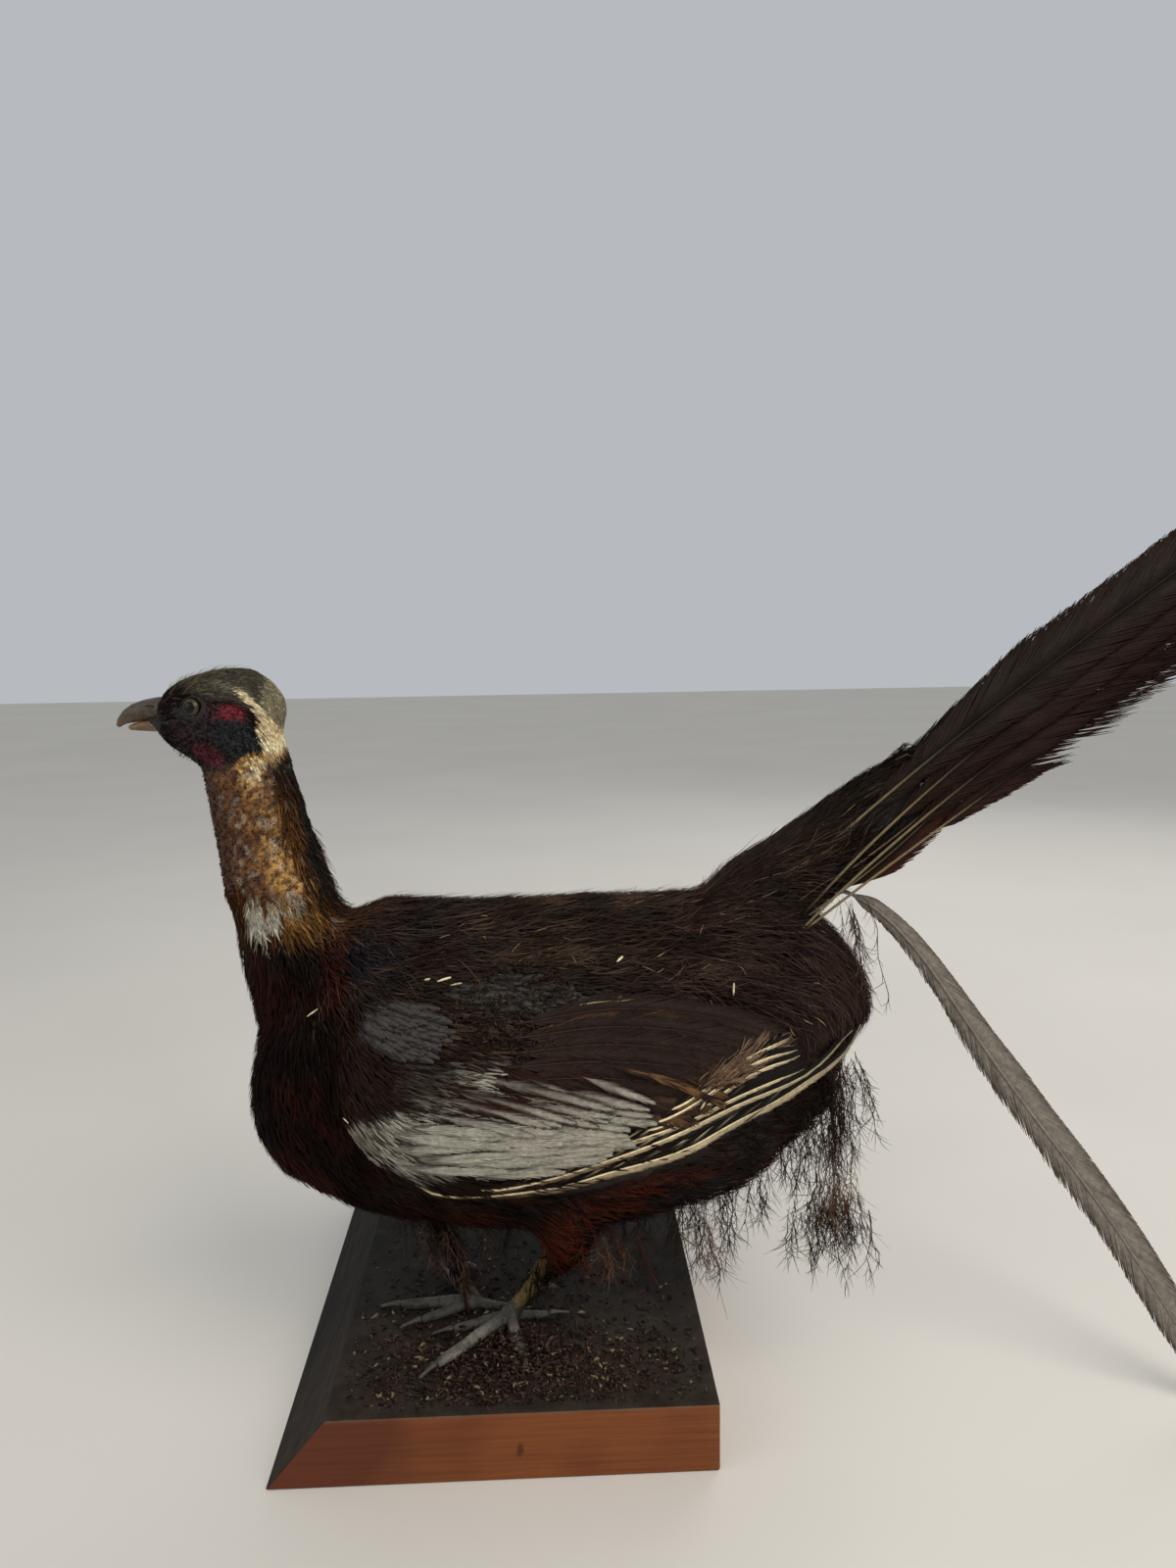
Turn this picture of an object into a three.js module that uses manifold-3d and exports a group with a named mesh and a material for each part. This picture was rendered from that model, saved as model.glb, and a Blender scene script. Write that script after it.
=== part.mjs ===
// A cock pheasant, mounted standing on a mitred hardwood block, at life size.
// Millimetres, +Z up. The origin is the centre of the block's underside.
// The bird faces -X, its left side faces -Y, and its own middle plane is Y = BIRD_Y.
import * as THREE from "three";
import { mergeVertices } from "three/addons/utils/BufferGeometryUtils.js";
import Module from "manifold-3d";

const wasm = await Module();
wasm.setup();

// ---------------------------------------------------------------- driving dimensions
const BLOCK = { length: 204, depth: 262, thickness: 33, mitre: 28 };
const BIRD_Y = -57;
const PIECE_GAP = 0.35; // clearance between neighbouring pieces
const CUT_WIDTH = 0.4; // thickness of the thin cuts that part the body
const CUT_REACH = 260; // how far across the bird a cut goes
const SLIVER_VOLUME = 500; // cubic millimetres: what a cut leaves smaller than this is no piece of the body
const MESH_TOLERANCE = 0.04; // how far the slivers that the cuts leave may move when they are merged
const BODY_SEGMENTS = 20;
const LIMB_SEGMENTS = 8;

const TAIL_ELEVATION = 36.8; // degrees above the horizon
const TAIL_ROOT = [112, 0, 259];
const TAIL_LENGTHS = [480, 425, 352, 282]; // central pair first, outermost last
const TAIL_WIDTHS = [29, 27, 25, 22];
const TAIL_PITCH = 9.4; // step down the slope of the tail from one pair to the next
const TAIL_ROOF = 60; // degrees that each side of the tail slopes from level
const FEATHER_THICKNESS = 1.3;

const COLOURS = {
  wood: 0x8a4a30,
  face: 0x3a1418,
  neck: 0x8a6332,
  breast: 0x2a120e,
  trunk: 0x2e241f,
  rump: 0x241a1c,
  coverts: 0x8b8c86,
  secondaries: 0x4a3427,
  primaries: 0x9a8058,
  tail: 0x2c1c17,
  hanging: 0x8d8478,
  horn: 0x4c4338,
  leg: 0x6a5a3c,
  toe: 0x6e6c66,
  eye: 0x6b5a22,
};

// ---------------------------------------------------------------- shape helpers
const vector = (p) => new THREE.Vector3(...p);
const inBird = ([x, y, z]) => new THREE.Vector3(x, BIRD_Y + y, z);

// Closes a list of rings, each with the same number of points, into one body with a pole at each end.
function skinRings(rings) {
  const around = rings[0].length;
  const points = rings.flat();
  const middle = (ring) =>
    ring.reduce((sum, p) => sum.add(p), new THREE.Vector3()).divideScalar(ring.length);
  points.push(middle(rings[0]), middle(rings[rings.length - 1]));
  const startPole = points.length - 2;
  const endPole = points.length - 1;
  const last = (rings.length - 1) * around;
  const faces = [];
  for (let j = 0; j < around; j++) {
    const next = (j + 1) % around;
    faces.push(startPole, j, next);
    faces.push(endPole, last + next, last + j);
    for (let i = 0; i < rings.length - 1; i++) {
      const a = i * around + j;
      const b = i * around + next;
      faces.push(a, b + around, b, a, a + around, b + around);
    }
  }
  const geometry = new THREE.BufferGeometry();
  geometry.setAttribute(
    "position",
    new THREE.Float32BufferAttribute(points.flatMap((p) => p.toArray()), 3),
  );
  geometry.setIndex(faces);
  return geometry;
}

// A body swept through stations { at, up, down, side }: its middle, and how far it reaches from there.
// The up direction is square to the path and to sideAxis.
function sweep(stations, { rings = 12, segments = BODY_SEGMENTS, grow = 0, sideAxis = null } = {}) {
  const path = new THREE.CatmullRomCurve3(stations.map((s) => inBird(s.at)));
  const reach = new THREE.CatmullRomCurve3(
    stations.map((s) => vector([s.up, s.down ?? s.up, s.side ?? s.up])),
  );
  const made = [];
  for (let i = 0; i < rings; i++) {
    const t = i / (rings - 1);
    const tangent = path.getTangent(t);
    const side = sideAxis
      ? vector(sideAxis)
      : new THREE.Vector3(0, 0, 1).cross(tangent).negate().normalize();
    const up = side.clone().cross(tangent).normalize();
    const centre = path.getPoint(t);
    if (i === 0) centre.addScaledVector(tangent, -grow);
    if (i === rings - 1) centre.addScaledVector(tangent, grow);
    const r = reach.getPoint(t);
    const ring = [];
    for (let j = 0; j < segments; j++) {
      const angle = (2 * Math.PI * j) / segments;
      const rise = Math.sin(angle) * ((Math.sin(angle) > 0 ? r.x : r.y) + grow);
      ring.push(
        centre
          .clone()
          .addScaledVector(up, rise)
          .addScaledVector(side, Math.cos(angle) * (r.z + grow)),
      );
    }
    made.push(ring);
  }
  return skinRings(made);
}

const ACROSS = [0, -1, 0];
const bodySweep = (stations, rings, grow = 0) =>
  sweep(stations, { rings, grow, sideAxis: ACROSS });

// ---------------------------------------------------------------- solids
function solid(geometry) {
  const made = new wasm.Manifold(
    new wasm.Mesh({
      numProp: 3,
      vertProperties: new Float32Array(geometry.attributes.position.array),
      triVerts: new Uint32Array(geometry.index.array),
    }),
  );
  if (made.volume() < 0) throw new Error("a swept body is inside out");
  return made;
}

function toGeometry(manifold) {
  const mesh = manifold.simplify(MESH_TOLERANCE).getMesh();
  const points = [];
  for (let i = 0; i < mesh.numVert; i++) {
    points.push(...mesh.vertProperties.subarray(i * mesh.numProp, i * mesh.numProp + 3));
  }
  const geometry = new THREE.BufferGeometry();
  geometry.setAttribute("position", new THREE.Float32BufferAttribute(points, 3));
  geometry.setIndex(Array.from(mesh.triVerts));
  return geometry;
}

const largest = (manifold) =>
  manifold.decompose().sort((a, b) => b.volume() - a.volume())[0];

// The piece whose box has its middle nearest to the point [x, z].
function pieceNear(pieces, [x, z]) {
  const distance = (piece) => {
    const { min, max } = piece.boundingBox();
    return Math.hypot((min[0] + max[0]) / 2 - x, (min[2] + max[2]) / 2 - z);
  };
  const big = pieces.filter((p) => p.volume() > SLIVER_VOLUME);
  return big.sort((a, b) => distance(a) - distance(b))[0];
}

// The solid of a three.js shape, whose faces come with vertices of their own.
function closed(geometry) {
  geometry.deleteAttribute("normal");
  geometry.deleteAttribute("uv");
  return solid(mergeVertices(geometry, 1e-4));
}

// A thin cut across the bird through the point [x, z], tilted up towards +X.
function cut(at, length, tiltDegrees) {
  const box = new THREE.BoxGeometry(length, CUT_REACH, CUT_WIDTH);
  box.rotateY(-THREE.MathUtils.degToRad(tiltDegrees));
  box.translate(at[0], BIRD_Y, at[1]);
  return closed(box);
}

// ---------------------------------------------------------------- the group
const pheasant = new THREE.Group();

function add(name, shape, colour, roughness = 0.85) {
  const geometry = shape.isBufferGeometry ? shape : toGeometry(shape);
  geometry.computeVertexNormals();
  const material = new THREE.MeshStandardMaterial({ color: colour, roughness, metalness: 0 });
  const mesh = new THREE.Mesh(geometry, material);
  mesh.name = name;
  pheasant.add(mesh);
  return mesh;
}

// ---------------------------------------------------------------- block
function makeBlock() {
  const half = BLOCK.length / 2;
  const side = new THREE.Shape([
    new THREE.Vector2(-half, 0),
    new THREE.Vector2(half, 0),
    new THREE.Vector2(half, BLOCK.thickness),
    new THREE.Vector2(-half + BLOCK.mitre, BLOCK.thickness),
  ]);
  const geometry = new THREE.ExtrudeGeometry(side, { depth: BLOCK.depth, bevelEnabled: false });
  geometry.rotateX(Math.PI / 2);
  geometry.translate(0, BLOCK.depth / 2, 0);
  add("base_board", closed(geometry), COLOURS.wood, 0.45);
}

// ---------------------------------------------------------------- head, neck and trunk
// Trunk stations run from the crop to the end of the rump, square to X.
const TRUNK = [
  { at: [-112, 0, 186], up: 8, down: 9, side: 7 },
  { at: [-106, 0, 184], up: 38, down: 40, side: 28 },
  { at: [-90, 0, 180], up: 60, down: 66, side: 43 },
  { at: [-58, 0, 176], up: 78, down: 79, side: 55 },
  { at: [-10, 0, 170], up: 81, down: 84, side: 61 },
  { at: [45, 0, 169], up: 83, down: 85, side: 61 },
  { at: [95, 0, 173], up: 80, down: 79, side: 55 },
  { at: [135, 0, 184], up: 74, down: 71, side: 45 },
  { at: [165, 0, 195], up: 54, down: 54, side: 33 },
  { at: [186, 0, 199], up: 14, down: 16, side: 9 },
];
const NECK = [
  { at: [-78, 0, 196], up: 35, down: 34, side: 36 },
  { at: [-92, 0, 232], up: 28.5, down: 29, side: 27 },
  { at: [-101, 0, 266], up: 24, down: 23.5, side: 21 },
  { at: [-108, 0, 298], up: 21, down: 21.5, side: 18.5 },
  { at: [-111.5, 0, 324], up: 21.5, down: 20.5, side: 16.5 },
  { at: [-115, 0, 342], up: 14, down: 14, side: 12 },
];
const HEAD = [
  { at: [-93, 0, 336], up: 6, down: 7, side: 6 },
  { at: [-99, 0, 338], up: 15, down: 17, side: 13 },
  { at: [-111, 0, 340], up: 22, down: 23, side: 16.5 },
  { at: [-125, 0, 341.5], up: 24.8, down: 20.5, side: 16 },
  { at: [-137, 0, 342], up: 22.6, down: 16.5, side: 13.5 },
  { at: [-147, 0, 341.5], up: 14.6, down: 10, side: 9.5 },
  { at: [-154, 0, 341], up: 6.5, down: 6.5, side: 6 },
];
const TAIL_COVERTS = [
  { at: [97, 0, 223], up: 16, down: 16, side: 24 },
  { at: [129, 0, 244.7], up: 23.5, down: 22, side: 24 },
  { at: [169, 0, 274.7], up: 23, down: 22, side: 18 },
  { at: [201, 0, 298.7], up: 21.5, down: 20, side: 11 },
  { at: [213, 0, 307.7], up: 17, down: 16, side: 7 },
];
const wholeBody = (grow) =>
  solid(bodySweep(TRUNK, 19, grow))
    .add(solid(bodySweep(NECK, 9, grow)))
    .add(solid(bodySweep(HEAD, 11, grow)));

const bodyClearance = wholeBody(PIECE_GAP);

const EYE = { at: [-130.8, 11.3, 345.2], radius: 4.8 };

function eyeball(sign, grow) {
  const ball = new THREE.SphereGeometry(EYE.radius + grow, 12, 8);
  ball.translate(...inBird([EYE.at[0], sign * EYE.at[1], EYE.at[2]]).toArray());
  return closed(ball);
}

const BILL_UPPER = [
  { at: [-146, 0, 345], up: 6.5, down: 5, side: 6.5 },
  { at: [-154, 0, 344.4], up: 5.8, down: 4.6, side: 5.4 },
  { at: [-161, 0, 342.6], up: 4.6, down: 4, side: 3.8 },
  { at: [-166.5, 0, 339.9], up: 3, down: 2.4, side: 2.2 },
  { at: [-169.3, 0, 336.4], up: 1, down: 0.8, side: 0.8 },
];
const BILL_LOWER = [
  { at: [-145, 0, 336.3], up: 2.9, down: 3.8, side: 5.6 },
  { at: [-153, 0, 336.4], up: 2.7, down: 3.3, side: 4.7 },
  { at: [-159, 0, 336], up: 1.9, down: 2.5, side: 3.2 },
  { at: [-164, 0, 335.4], up: 0.8, down: 1, side: 1.3 },
];
const bill = (stations, grow) =>
  solid(sweep(stations, { rings: 7, segments: 10, grow, sideAxis: ACROSS }));

function makeBody() {
  const away = [
    cut([-112, 319.5], 74, 15), // head from neck
    cut([-95, 238], 96, 23), // neck from breast
    cut([-46, 170], 220, 96), // breast from trunk
    cut([104, 175], 220, 84), // trunk from rump
    bill(BILL_UPPER, PIECE_GAP),
    bill(BILL_LOWER, PIECE_GAP),
    eyeball(-1, PIECE_GAP),
    eyeball(1, PIECE_GAP),
  ];
  const body = away.reduce((rest, taken) => rest.subtract(taken), wholeBody(0));
  const pieces = body.decompose();
  add("head", pieceNear(pieces, [-122, 342]), COLOURS.face);
  add("neck", pieceNear(pieces, [-104, 275]), COLOURS.neck);
  add("breast", pieceNear(pieces, [-90, 175]), COLOURS.breast);
  add("trunk", pieceNear(pieces, [30, 170]), COLOURS.trunk);
  add("rump", pieceNear(pieces, [145, 185]), COLOURS.rump);
}

function makeFace() {
  add("bill_upper", bill(BILL_UPPER, 0), COLOURS.horn, 0.5);
  const lower = bill(BILL_LOWER, 0).subtract(bill(BILL_UPPER, PIECE_GAP));
  add("bill_lower", largest(lower), COLOURS.horn, 0.5);
  add("eye_left", eyeball(-1, 0), COLOURS.eye, 0.1);
  add("eye_right", eyeball(1, 0), COLOURS.eye, 0.1);
}

// ---------------------------------------------------------------- wings
// The folded wing follows the side of the trunk.
// At each x it spans from low to high and stands proud of the side by thick.
const WING = [
  { x: -66, low: 160, high: 190, thick: 2 },
  { x: -54, low: 145, high: 212, thick: 6.5 },
  { x: -28, low: 128, high: 229, thick: 9.5 },
  { x: 20, low: 119, high: 235, thick: 10.5 },
  { x: 66, low: 127, high: 233, thick: 9.5 },
  { x: 106, low: 143, high: 227, thick: 8 },
  { x: 140, low: 166, high: 218, thick: 7 },
  { x: 160, low: 184, high: 210, thick: 5 },
  { x: 173, low: 193, high: 203, thick: 2.5 },
];
const WING_RINGS = 15;
const WING_OUTER = 9;
const WING_DEPTH = 5; // how far the wing reaches into the trunk before it is cut back
const WING_ROUNDING = { power: 0.55, edge: 0.04 }; // how bluntly the wing's face rolls over to its edges
const WING_INNER_INSET = 0.2; // share of the wing's height that its hidden face is short at each edge
const TRUNK_END = 184; // past this x the trunk narrows too fast for the wing to follow it
const TRUNK_SHOULDER = 0.97; // the wing stays below this share of the trunk's height

function makeWing(sign) {
  const trunkPath = new THREE.CatmullRomCurve3(TRUNK.map((s) => vector(s.at)));
  const trunkReach = new THREE.CatmullRomCurve3(TRUNK.map((s) => vector([s.up, s.down, s.side])));
  const stationAt = (x) => {
    let low = 0;
    let high = 1;
    for (let i = 0; i < 30; i++) {
      const middle = (low + high) / 2;
      if (trunkPath.getPoint(middle).x < x) low = middle;
      else high = middle;
    }
    return { centre: trunkPath.getPoint(low), reach: trunkReach.getPoint(low) };
  };
  // The point of the trunk's side at height z, moved out along its surface normal.
  const onSide = (x, z, out) => {
    const { centre, reach } = stationAt(Math.min(x, TRUNK_END));
    const tall = z > centre.z ? reach.x : reach.y;
    const sine = THREE.MathUtils.clamp((z - centre.z) / tall, -TRUNK_SHOULDER, TRUNK_SHOULDER);
    const cosine = Math.sqrt(1 - sine * sine);
    const normal = new THREE.Vector3(0, cosine / reach.z, sine / tall).normalize();
    return new THREE.Vector3(
      x,
      BIRD_Y + sign * (reach.z * cosine + out * normal.y),
      centre.z + tall * sine + out * normal.z,
    );
  };
  const span = new THREE.CatmullRomCurve3(WING.map((w) => vector([w.x, w.low, w.high])));
  const bulk = new THREE.CatmullRomCurve3(WING.map((w) => vector([w.x, w.thick, 0])));
  const rings = [];
  for (let i = 0; i < WING_RINGS; i++) {
    const t = i / (WING_RINGS - 1);
    const { x, y: low, z: high } = span.getPoint(t);
    const thick = bulk.getPoint(t).y;
    const inset = (high - low) * WING_INNER_INSET;
    const ring = [];
    for (let j = 0; j <= WING_OUTER; j++) {
      const share = j / WING_OUTER;
      const { power, edge } = WING_ROUNDING;
      const arch = Math.sin(Math.PI * THREE.MathUtils.clamp(share, edge, 1 - edge));
      ring.push(onSide(x, low + (high - low) * share, thick * Math.pow(arch, power)));
    }
    ring.push(onSide(x, high - inset, -WING_DEPTH));
    ring.push(onSide(x, low + inset, -WING_DEPTH));
    rings.push(sign > 0 ? ring.reverse() : ring);
  }
  const wing = solid(skinRings(rings))
    .subtract(bodyClearance)
    .subtract(solid(bodySweep(TAIL_COVERTS, 9, PIECE_GAP)));
  return largest(wing);
}

function partWing(sideName, wing) {
  const quillLine = cut([55, 166], 420, 21.5);
  const covertLine = cut([66, 240], 200, 100);
  const pieces = wing.subtract(quillLine).subtract(covertLine).decompose();
  add(`wing_${sideName}_coverts`, pieceNear(pieces, [0, 185]), COLOURS.coverts);
  add(`wing_${sideName}_secondaries`, pieceNear(pieces, [116, 206]), COLOURS.secondaries);
  add(`wing_${sideName}_primaries`, pieceNear(pieces, [69, 161]), COLOURS.primaries);
}

// ---------------------------------------------------------------- legs
// Each foot is given by its joint over the block.
// Each toe is given by its heading in degrees from -X, its length and its radius.
const BLOCK_TOP = BLOCK.thickness + PIECE_GAP;
const FEET = [
  {
    side: "left",
    joint: [6, -6.5, BLOCK_TOP + 5],
    ankle: [44, -17, 88],
    thigh: [
      { at: [30, -26, 116], up: 26, side: 22 },
      { at: [36, -23, 92], up: 18, side: 16 },
      { at: [31, -16, 72], up: 10.5, side: 9.5 },
      { at: [24, -12, 59], up: 4.5, side: 4.5 },
    ],
    toes: [
      { name: "middle", heading: 46, length: 48, radius: 3.2 },
      { name: "inner", heading: 12, length: 28, radius: 2.7 },
      { name: "outer", heading: 104, length: 30, radius: 2.8 },
      { name: "hind", heading: 192, length: 20, radius: 2.4 },
    ],
  },
  {
    side: "right",
    joint: [-13, 6.5, BLOCK_TOP + 5],
    ankle: [-34, 12, 92],
    thigh: [
      { at: [-12, 24, 118], up: 22, side: 20 },
      { at: [-24, 18, 96], up: 16, side: 14 },
      { at: [-29, 12.5, 81], up: 8, side: 8 },
      { at: [-27, 10, 72], up: 4.2, side: 4.2 },
    ],
    toes: [
      { name: "middle", heading: -6, length: 37, radius: 3.2 },
      { name: "inner", heading: 22, length: 27, radius: 2.7 },
      { name: "outer", heading: -66, length: 32, radius: 2.8 },
      { name: "hind", heading: 176, length: 20, radius: 2.4 },
    ],
  },
];
const FOOT_SWELL = 0.4; // how much the foot's joint is thicker than the leg above it
// A toe's sections: their place along it, their radius as a share of the toe's, and their lift.
const TOE_SECTIONS = [
  { share: 0, thick: 1, lift: 1.4 },
  { share: 0.3, thick: 0.98, lift: 1.2 },
  { share: 0.55, thick: 0.86, lift: 0.4 },
  { share: 0.8, thick: 0.78, lift: 0.1 },
  { share: 1, thick: 0.62, lift: 0.1 },
];
const CLAW = { length: 11, start: 0.97, root: 0.5, middle: 0.36, tip: 0.45, lift: [1, 0.9, 0.1] };
const TARSUS = { ankle: 4.6, shaft: 3.3, side: 2.84, foot: 4.2 };
const SPUR = { length: 10, radius: 2.6, tip: 0.5, drop: 2, share: 0.36 };

const limb = (stations, grow = 0, rings = 6) =>
  solid(sweep(stations, { rings, segments: LIMB_SEGMENTS, grow }));

const lerp = (a, b, t) => a.map((v, i) => v + (b[i] - v) * t);

function ball(at, radius) {
  const geometry = new THREE.SphereGeometry(radius, 8, 6);
  geometry.translate(...inBird(at).toArray());
  return closed(geometry);
}

function toeStations(foot, toe) {
  const turn = THREE.MathUtils.degToRad(toe.heading);
  const along = [-Math.cos(turn), -Math.sin(turn)];
  const [x, y] = foot.joint;
  const step = (share, radius, lift) => ({
    at: [
      x + along[0] * toe.length * share,
      y + along[1] * toe.length * share,
      BLOCK_TOP + radius + lift,
    ],
    up: radius,
  });
  const clawShare = CLAW.length / toe.length;
  return {
    toe: TOE_SECTIONS.map(({ share, thick, lift }) => step(share, toe.radius * thick, lift)),
    claw: [
      step(CLAW.start, toe.radius * CLAW.root, CLAW.lift[0]),
      step(1 + clawShare / 2, toe.radius * CLAW.middle, CLAW.lift[1]),
      step(1 + clawShare, CLAW.tip, CLAW.lift[2]),
    ],
  };
}

// All that lies lower than the feet may reach.
function underside() {
  const box = new THREE.BoxGeometry(2 * BLOCK.length, 2 * BLOCK.depth, BLOCK_TOP);
  box.translate(0, 0, BLOCK_TOP / 2);
  return closed(box);
}

function makeLeg(foot) {
  const thigh = (grow) =>
    solid(sweep(foot.thigh, { rings: 7, segments: 12, grow, sideAxis: ACROSS }));
  const tarsusStations = [
    { at: foot.ankle, up: TARSUS.ankle },
    { at: lerp(foot.ankle, foot.joint, 0.25), up: TARSUS.shaft, side: TARSUS.side },
    { at: lerp(foot.ankle, foot.joint, 0.75), up: TARSUS.shaft, side: TARSUS.side },
    { at: foot.joint, up: TARSUS.foot },
  ];
  const footSolid = (grow) => {
    let made = ball(foot.joint, TARSUS.foot + FOOT_SWELL + grow);
    for (const toe of foot.toes) made = made.add(limb(toeStations(foot, toe).toe, grow));
    return made;
  };
  const ground = underside();
  add(`thigh_${foot.side}`, largest(thigh(0).subtract(bodyClearance)), COLOURS.breast);
  add(
    `tarsus_${foot.side}`,
    largest(
      limb(tarsusStations)
        .subtract(bodyClearance)
        .subtract(thigh(PIECE_GAP))
        .subtract(footSolid(PIECE_GAP)),
    ),
    COLOURS.leg,
    0.6,
  );
  add(`foot_${foot.side}`, largest(footSolid(0).subtract(ground)), COLOURS.toe, 0.6);
  const away = footSolid(PIECE_GAP);
  for (const toe of foot.toes) {
    const claw = largest(limb(toeStations(foot, toe).claw, 0, 4).subtract(away).subtract(ground));
    add(`claw_${foot.side}_${toe.name}`, claw, COLOURS.horn, 0.5);
  }
  const spurRoot = lerp(foot.joint, foot.ankle, SPUR.share);
  const spurTip = [spurRoot[0] + SPUR.length, spurRoot[1], spurRoot[2] - SPUR.drop];
  const spur = limb(
    [
      { at: lerp(spurRoot, spurTip, 0.2), up: SPUR.radius },
      { at: lerp(spurRoot, spurTip, 0.7), up: SPUR.radius * 0.6 },
      { at: spurTip, up: SPUR.tip },
    ],
    0,
    4,
  );
  const clear = spur.subtract(limb(tarsusStations, PIECE_GAP));
  add(`spur_${foot.side}`, largest(clear), COLOURS.horn, 0.5);
}

// ---------------------------------------------------------------- tail
const BLADE_RINGS = 11;
// Half widths and half thicknesses of a feather's section, going round it from the middle of its upper face.
const BLADE_SECTION = [[0, 1], [1, 0.42], [1, -0.42], [0, -1], [-1, -0.42], [-1, 0.42]];

const BLADE_TAPER = 0.35; // share of its thickness that a feather loses towards its tip
// How a feather's width grows from its root and rounds off to its tip, as shares of its greatest.
const VANE = { root: 0.22, growth: 3.4, fall: 3.2, roundness: 0.6, tip: 0.06 };

function vaneWidth(t) {
  const grown = Math.min(1, VANE.root + VANE.growth * t);
  const rounded = Math.pow(Math.max(0, 1 - Math.pow(t, VANE.fall)), VANE.roundness);
  return grown * rounded + VANE.tip;
}

// A flat feather along a curve. acrossAt gives the direction across its vane at each tangent.
function blade(curve, width, acrossAt) {
  const rings = [];
  for (let i = 0; i < BLADE_RINGS; i++) {
    const t = i / (BLADE_RINGS - 1);
    const tangent = curve.getTangent(t);
    const across = acrossAt(tangent);
    const normal = tangent.clone().cross(across).normalize();
    const half = (width / 2) * vaneWidth(t);
    const deep = (FEATHER_THICKNESS / 2) * (1 - BLADE_TAPER * t);
    rings.push(
      BLADE_SECTION.map(([u, v]) =>
        curve.getPoint(t).addScaledVector(across, u * half).addScaledVector(normal, v * deep),
      ),
    );
  }
  return solid(skinRings(rings));
}

const TAIL_FAN = 0.3; // degrees that each pair drops below the one above it
const TAIL_NEST = 2; // each pair lies this far inside the one above it
const TAIL_DROOP = 9; // the sag of the longest feather's tip

function makeTailFeather(side, sign, order, clearance) {
  const length = TAIL_LENGTHS[order];
  const width = TAIL_WIDTHS[order];
  const rise = THREE.MathUtils.degToRad(TAIL_ELEVATION);
  const roof = THREE.MathUtils.degToRad(TAIL_ROOF);
  const fan = THREE.MathUtils.degToRad(TAIL_FAN * order);
  const heading = new THREE.Vector3(Math.cos(rise), 0, Math.sin(rise));
  const above = new THREE.Vector3(-Math.sin(rise), 0, Math.cos(rise));
  const outward = new THREE.Vector3(0, sign, 0);
  const downSlope = outward
    .clone()
    .multiplyScalar(Math.cos(roof))
    .addScaledVector(above, -Math.sin(roof));
  const outSlope = outward.multiplyScalar(Math.sin(roof)).addScaledVector(above, Math.cos(roof));
  const root = inBird(TAIL_ROOT)
    .addScaledVector(downSlope, TAIL_WIDTHS[0] / 2 + 1 + TAIL_PITCH * order)
    .addScaledVector(outSlope, -TAIL_NEST * order);
  const along = heading
    .clone()
    .multiplyScalar(Math.cos(fan))
    .addScaledVector(downSlope, Math.sin(fan));
  const across = downSlope
    .clone()
    .multiplyScalar(Math.cos(fan))
    .addScaledVector(heading, -Math.sin(fan));
  const sag = TAIL_DROOP * Math.pow(length / TAIL_LENGTHS[0], 2);
  const point = (share) =>
    root
      .clone()
      .addScaledVector(along, length * share)
      .addScaledVector(downSlope, sag * share * share);
  const curve = new THREE.CatmullRomCurve3([0, 0.33, 0.66, 1].map(point));
  const vane = blade(curve, width, () => across).subtract(clearance);
  add(`tail_feather_${side}_${order + 1}`, largest(vane), COLOURS.tail);
}

// One tail feather has worked loose and hangs from the rump to the ground that the block stands on.
const LOOSE_FEATHER = {
  width: 21,
  path: [
    [166, 0, 254], [203, -2, 229], [230, -5, 189], [261, -12, 145],
    [294, -22, 98], [327, -36, 45], [352, -47, 3],
  ],
};

function makeTail() {
  const coverts = (grow) => solid(bodySweep(TAIL_COVERTS, 9, grow));
  const clearance = coverts(PIECE_GAP).add(bodyClearance);
  add("tail_coverts", largest(coverts(0).subtract(bodyClearance)), COLOURS.rump);
  for (const [side, sign] of [["left", -1], ["right", 1]]) {
    TAIL_LENGTHS.forEach((_, order) => makeTailFeather(side, sign, order, clearance));
  }
  const curve = new THREE.CatmullRomCurve3(LOOSE_FEATHER.path.map(inBird));
  const towardsSide = new THREE.Vector3(0, -1, 0);
  const acrossAt = (tangent) => tangent.clone().cross(towardsSide).normalize();
  const loose = blade(curve, LOOSE_FEATHER.width, acrossAt).subtract(clearance);
  add("tail_feather_loose", largest(loose), COLOURS.hanging);
}

makeBlock();
makeBody();
makeFace();
partWing("left", makeWing(-1));
partWing("right", makeWing(1));
FEET.forEach(makeLeg);
makeTail();

export default pheasant;
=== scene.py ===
import math
from functools import lru_cache

import bmesh
import bpy
import numpy as np
from bpy.props import FloatProperty, FloatVectorProperty, IntProperty, PointerProperty
from mathutils import Matrix, Vector
from mathutils.bvhtree import BVHTree


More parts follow.
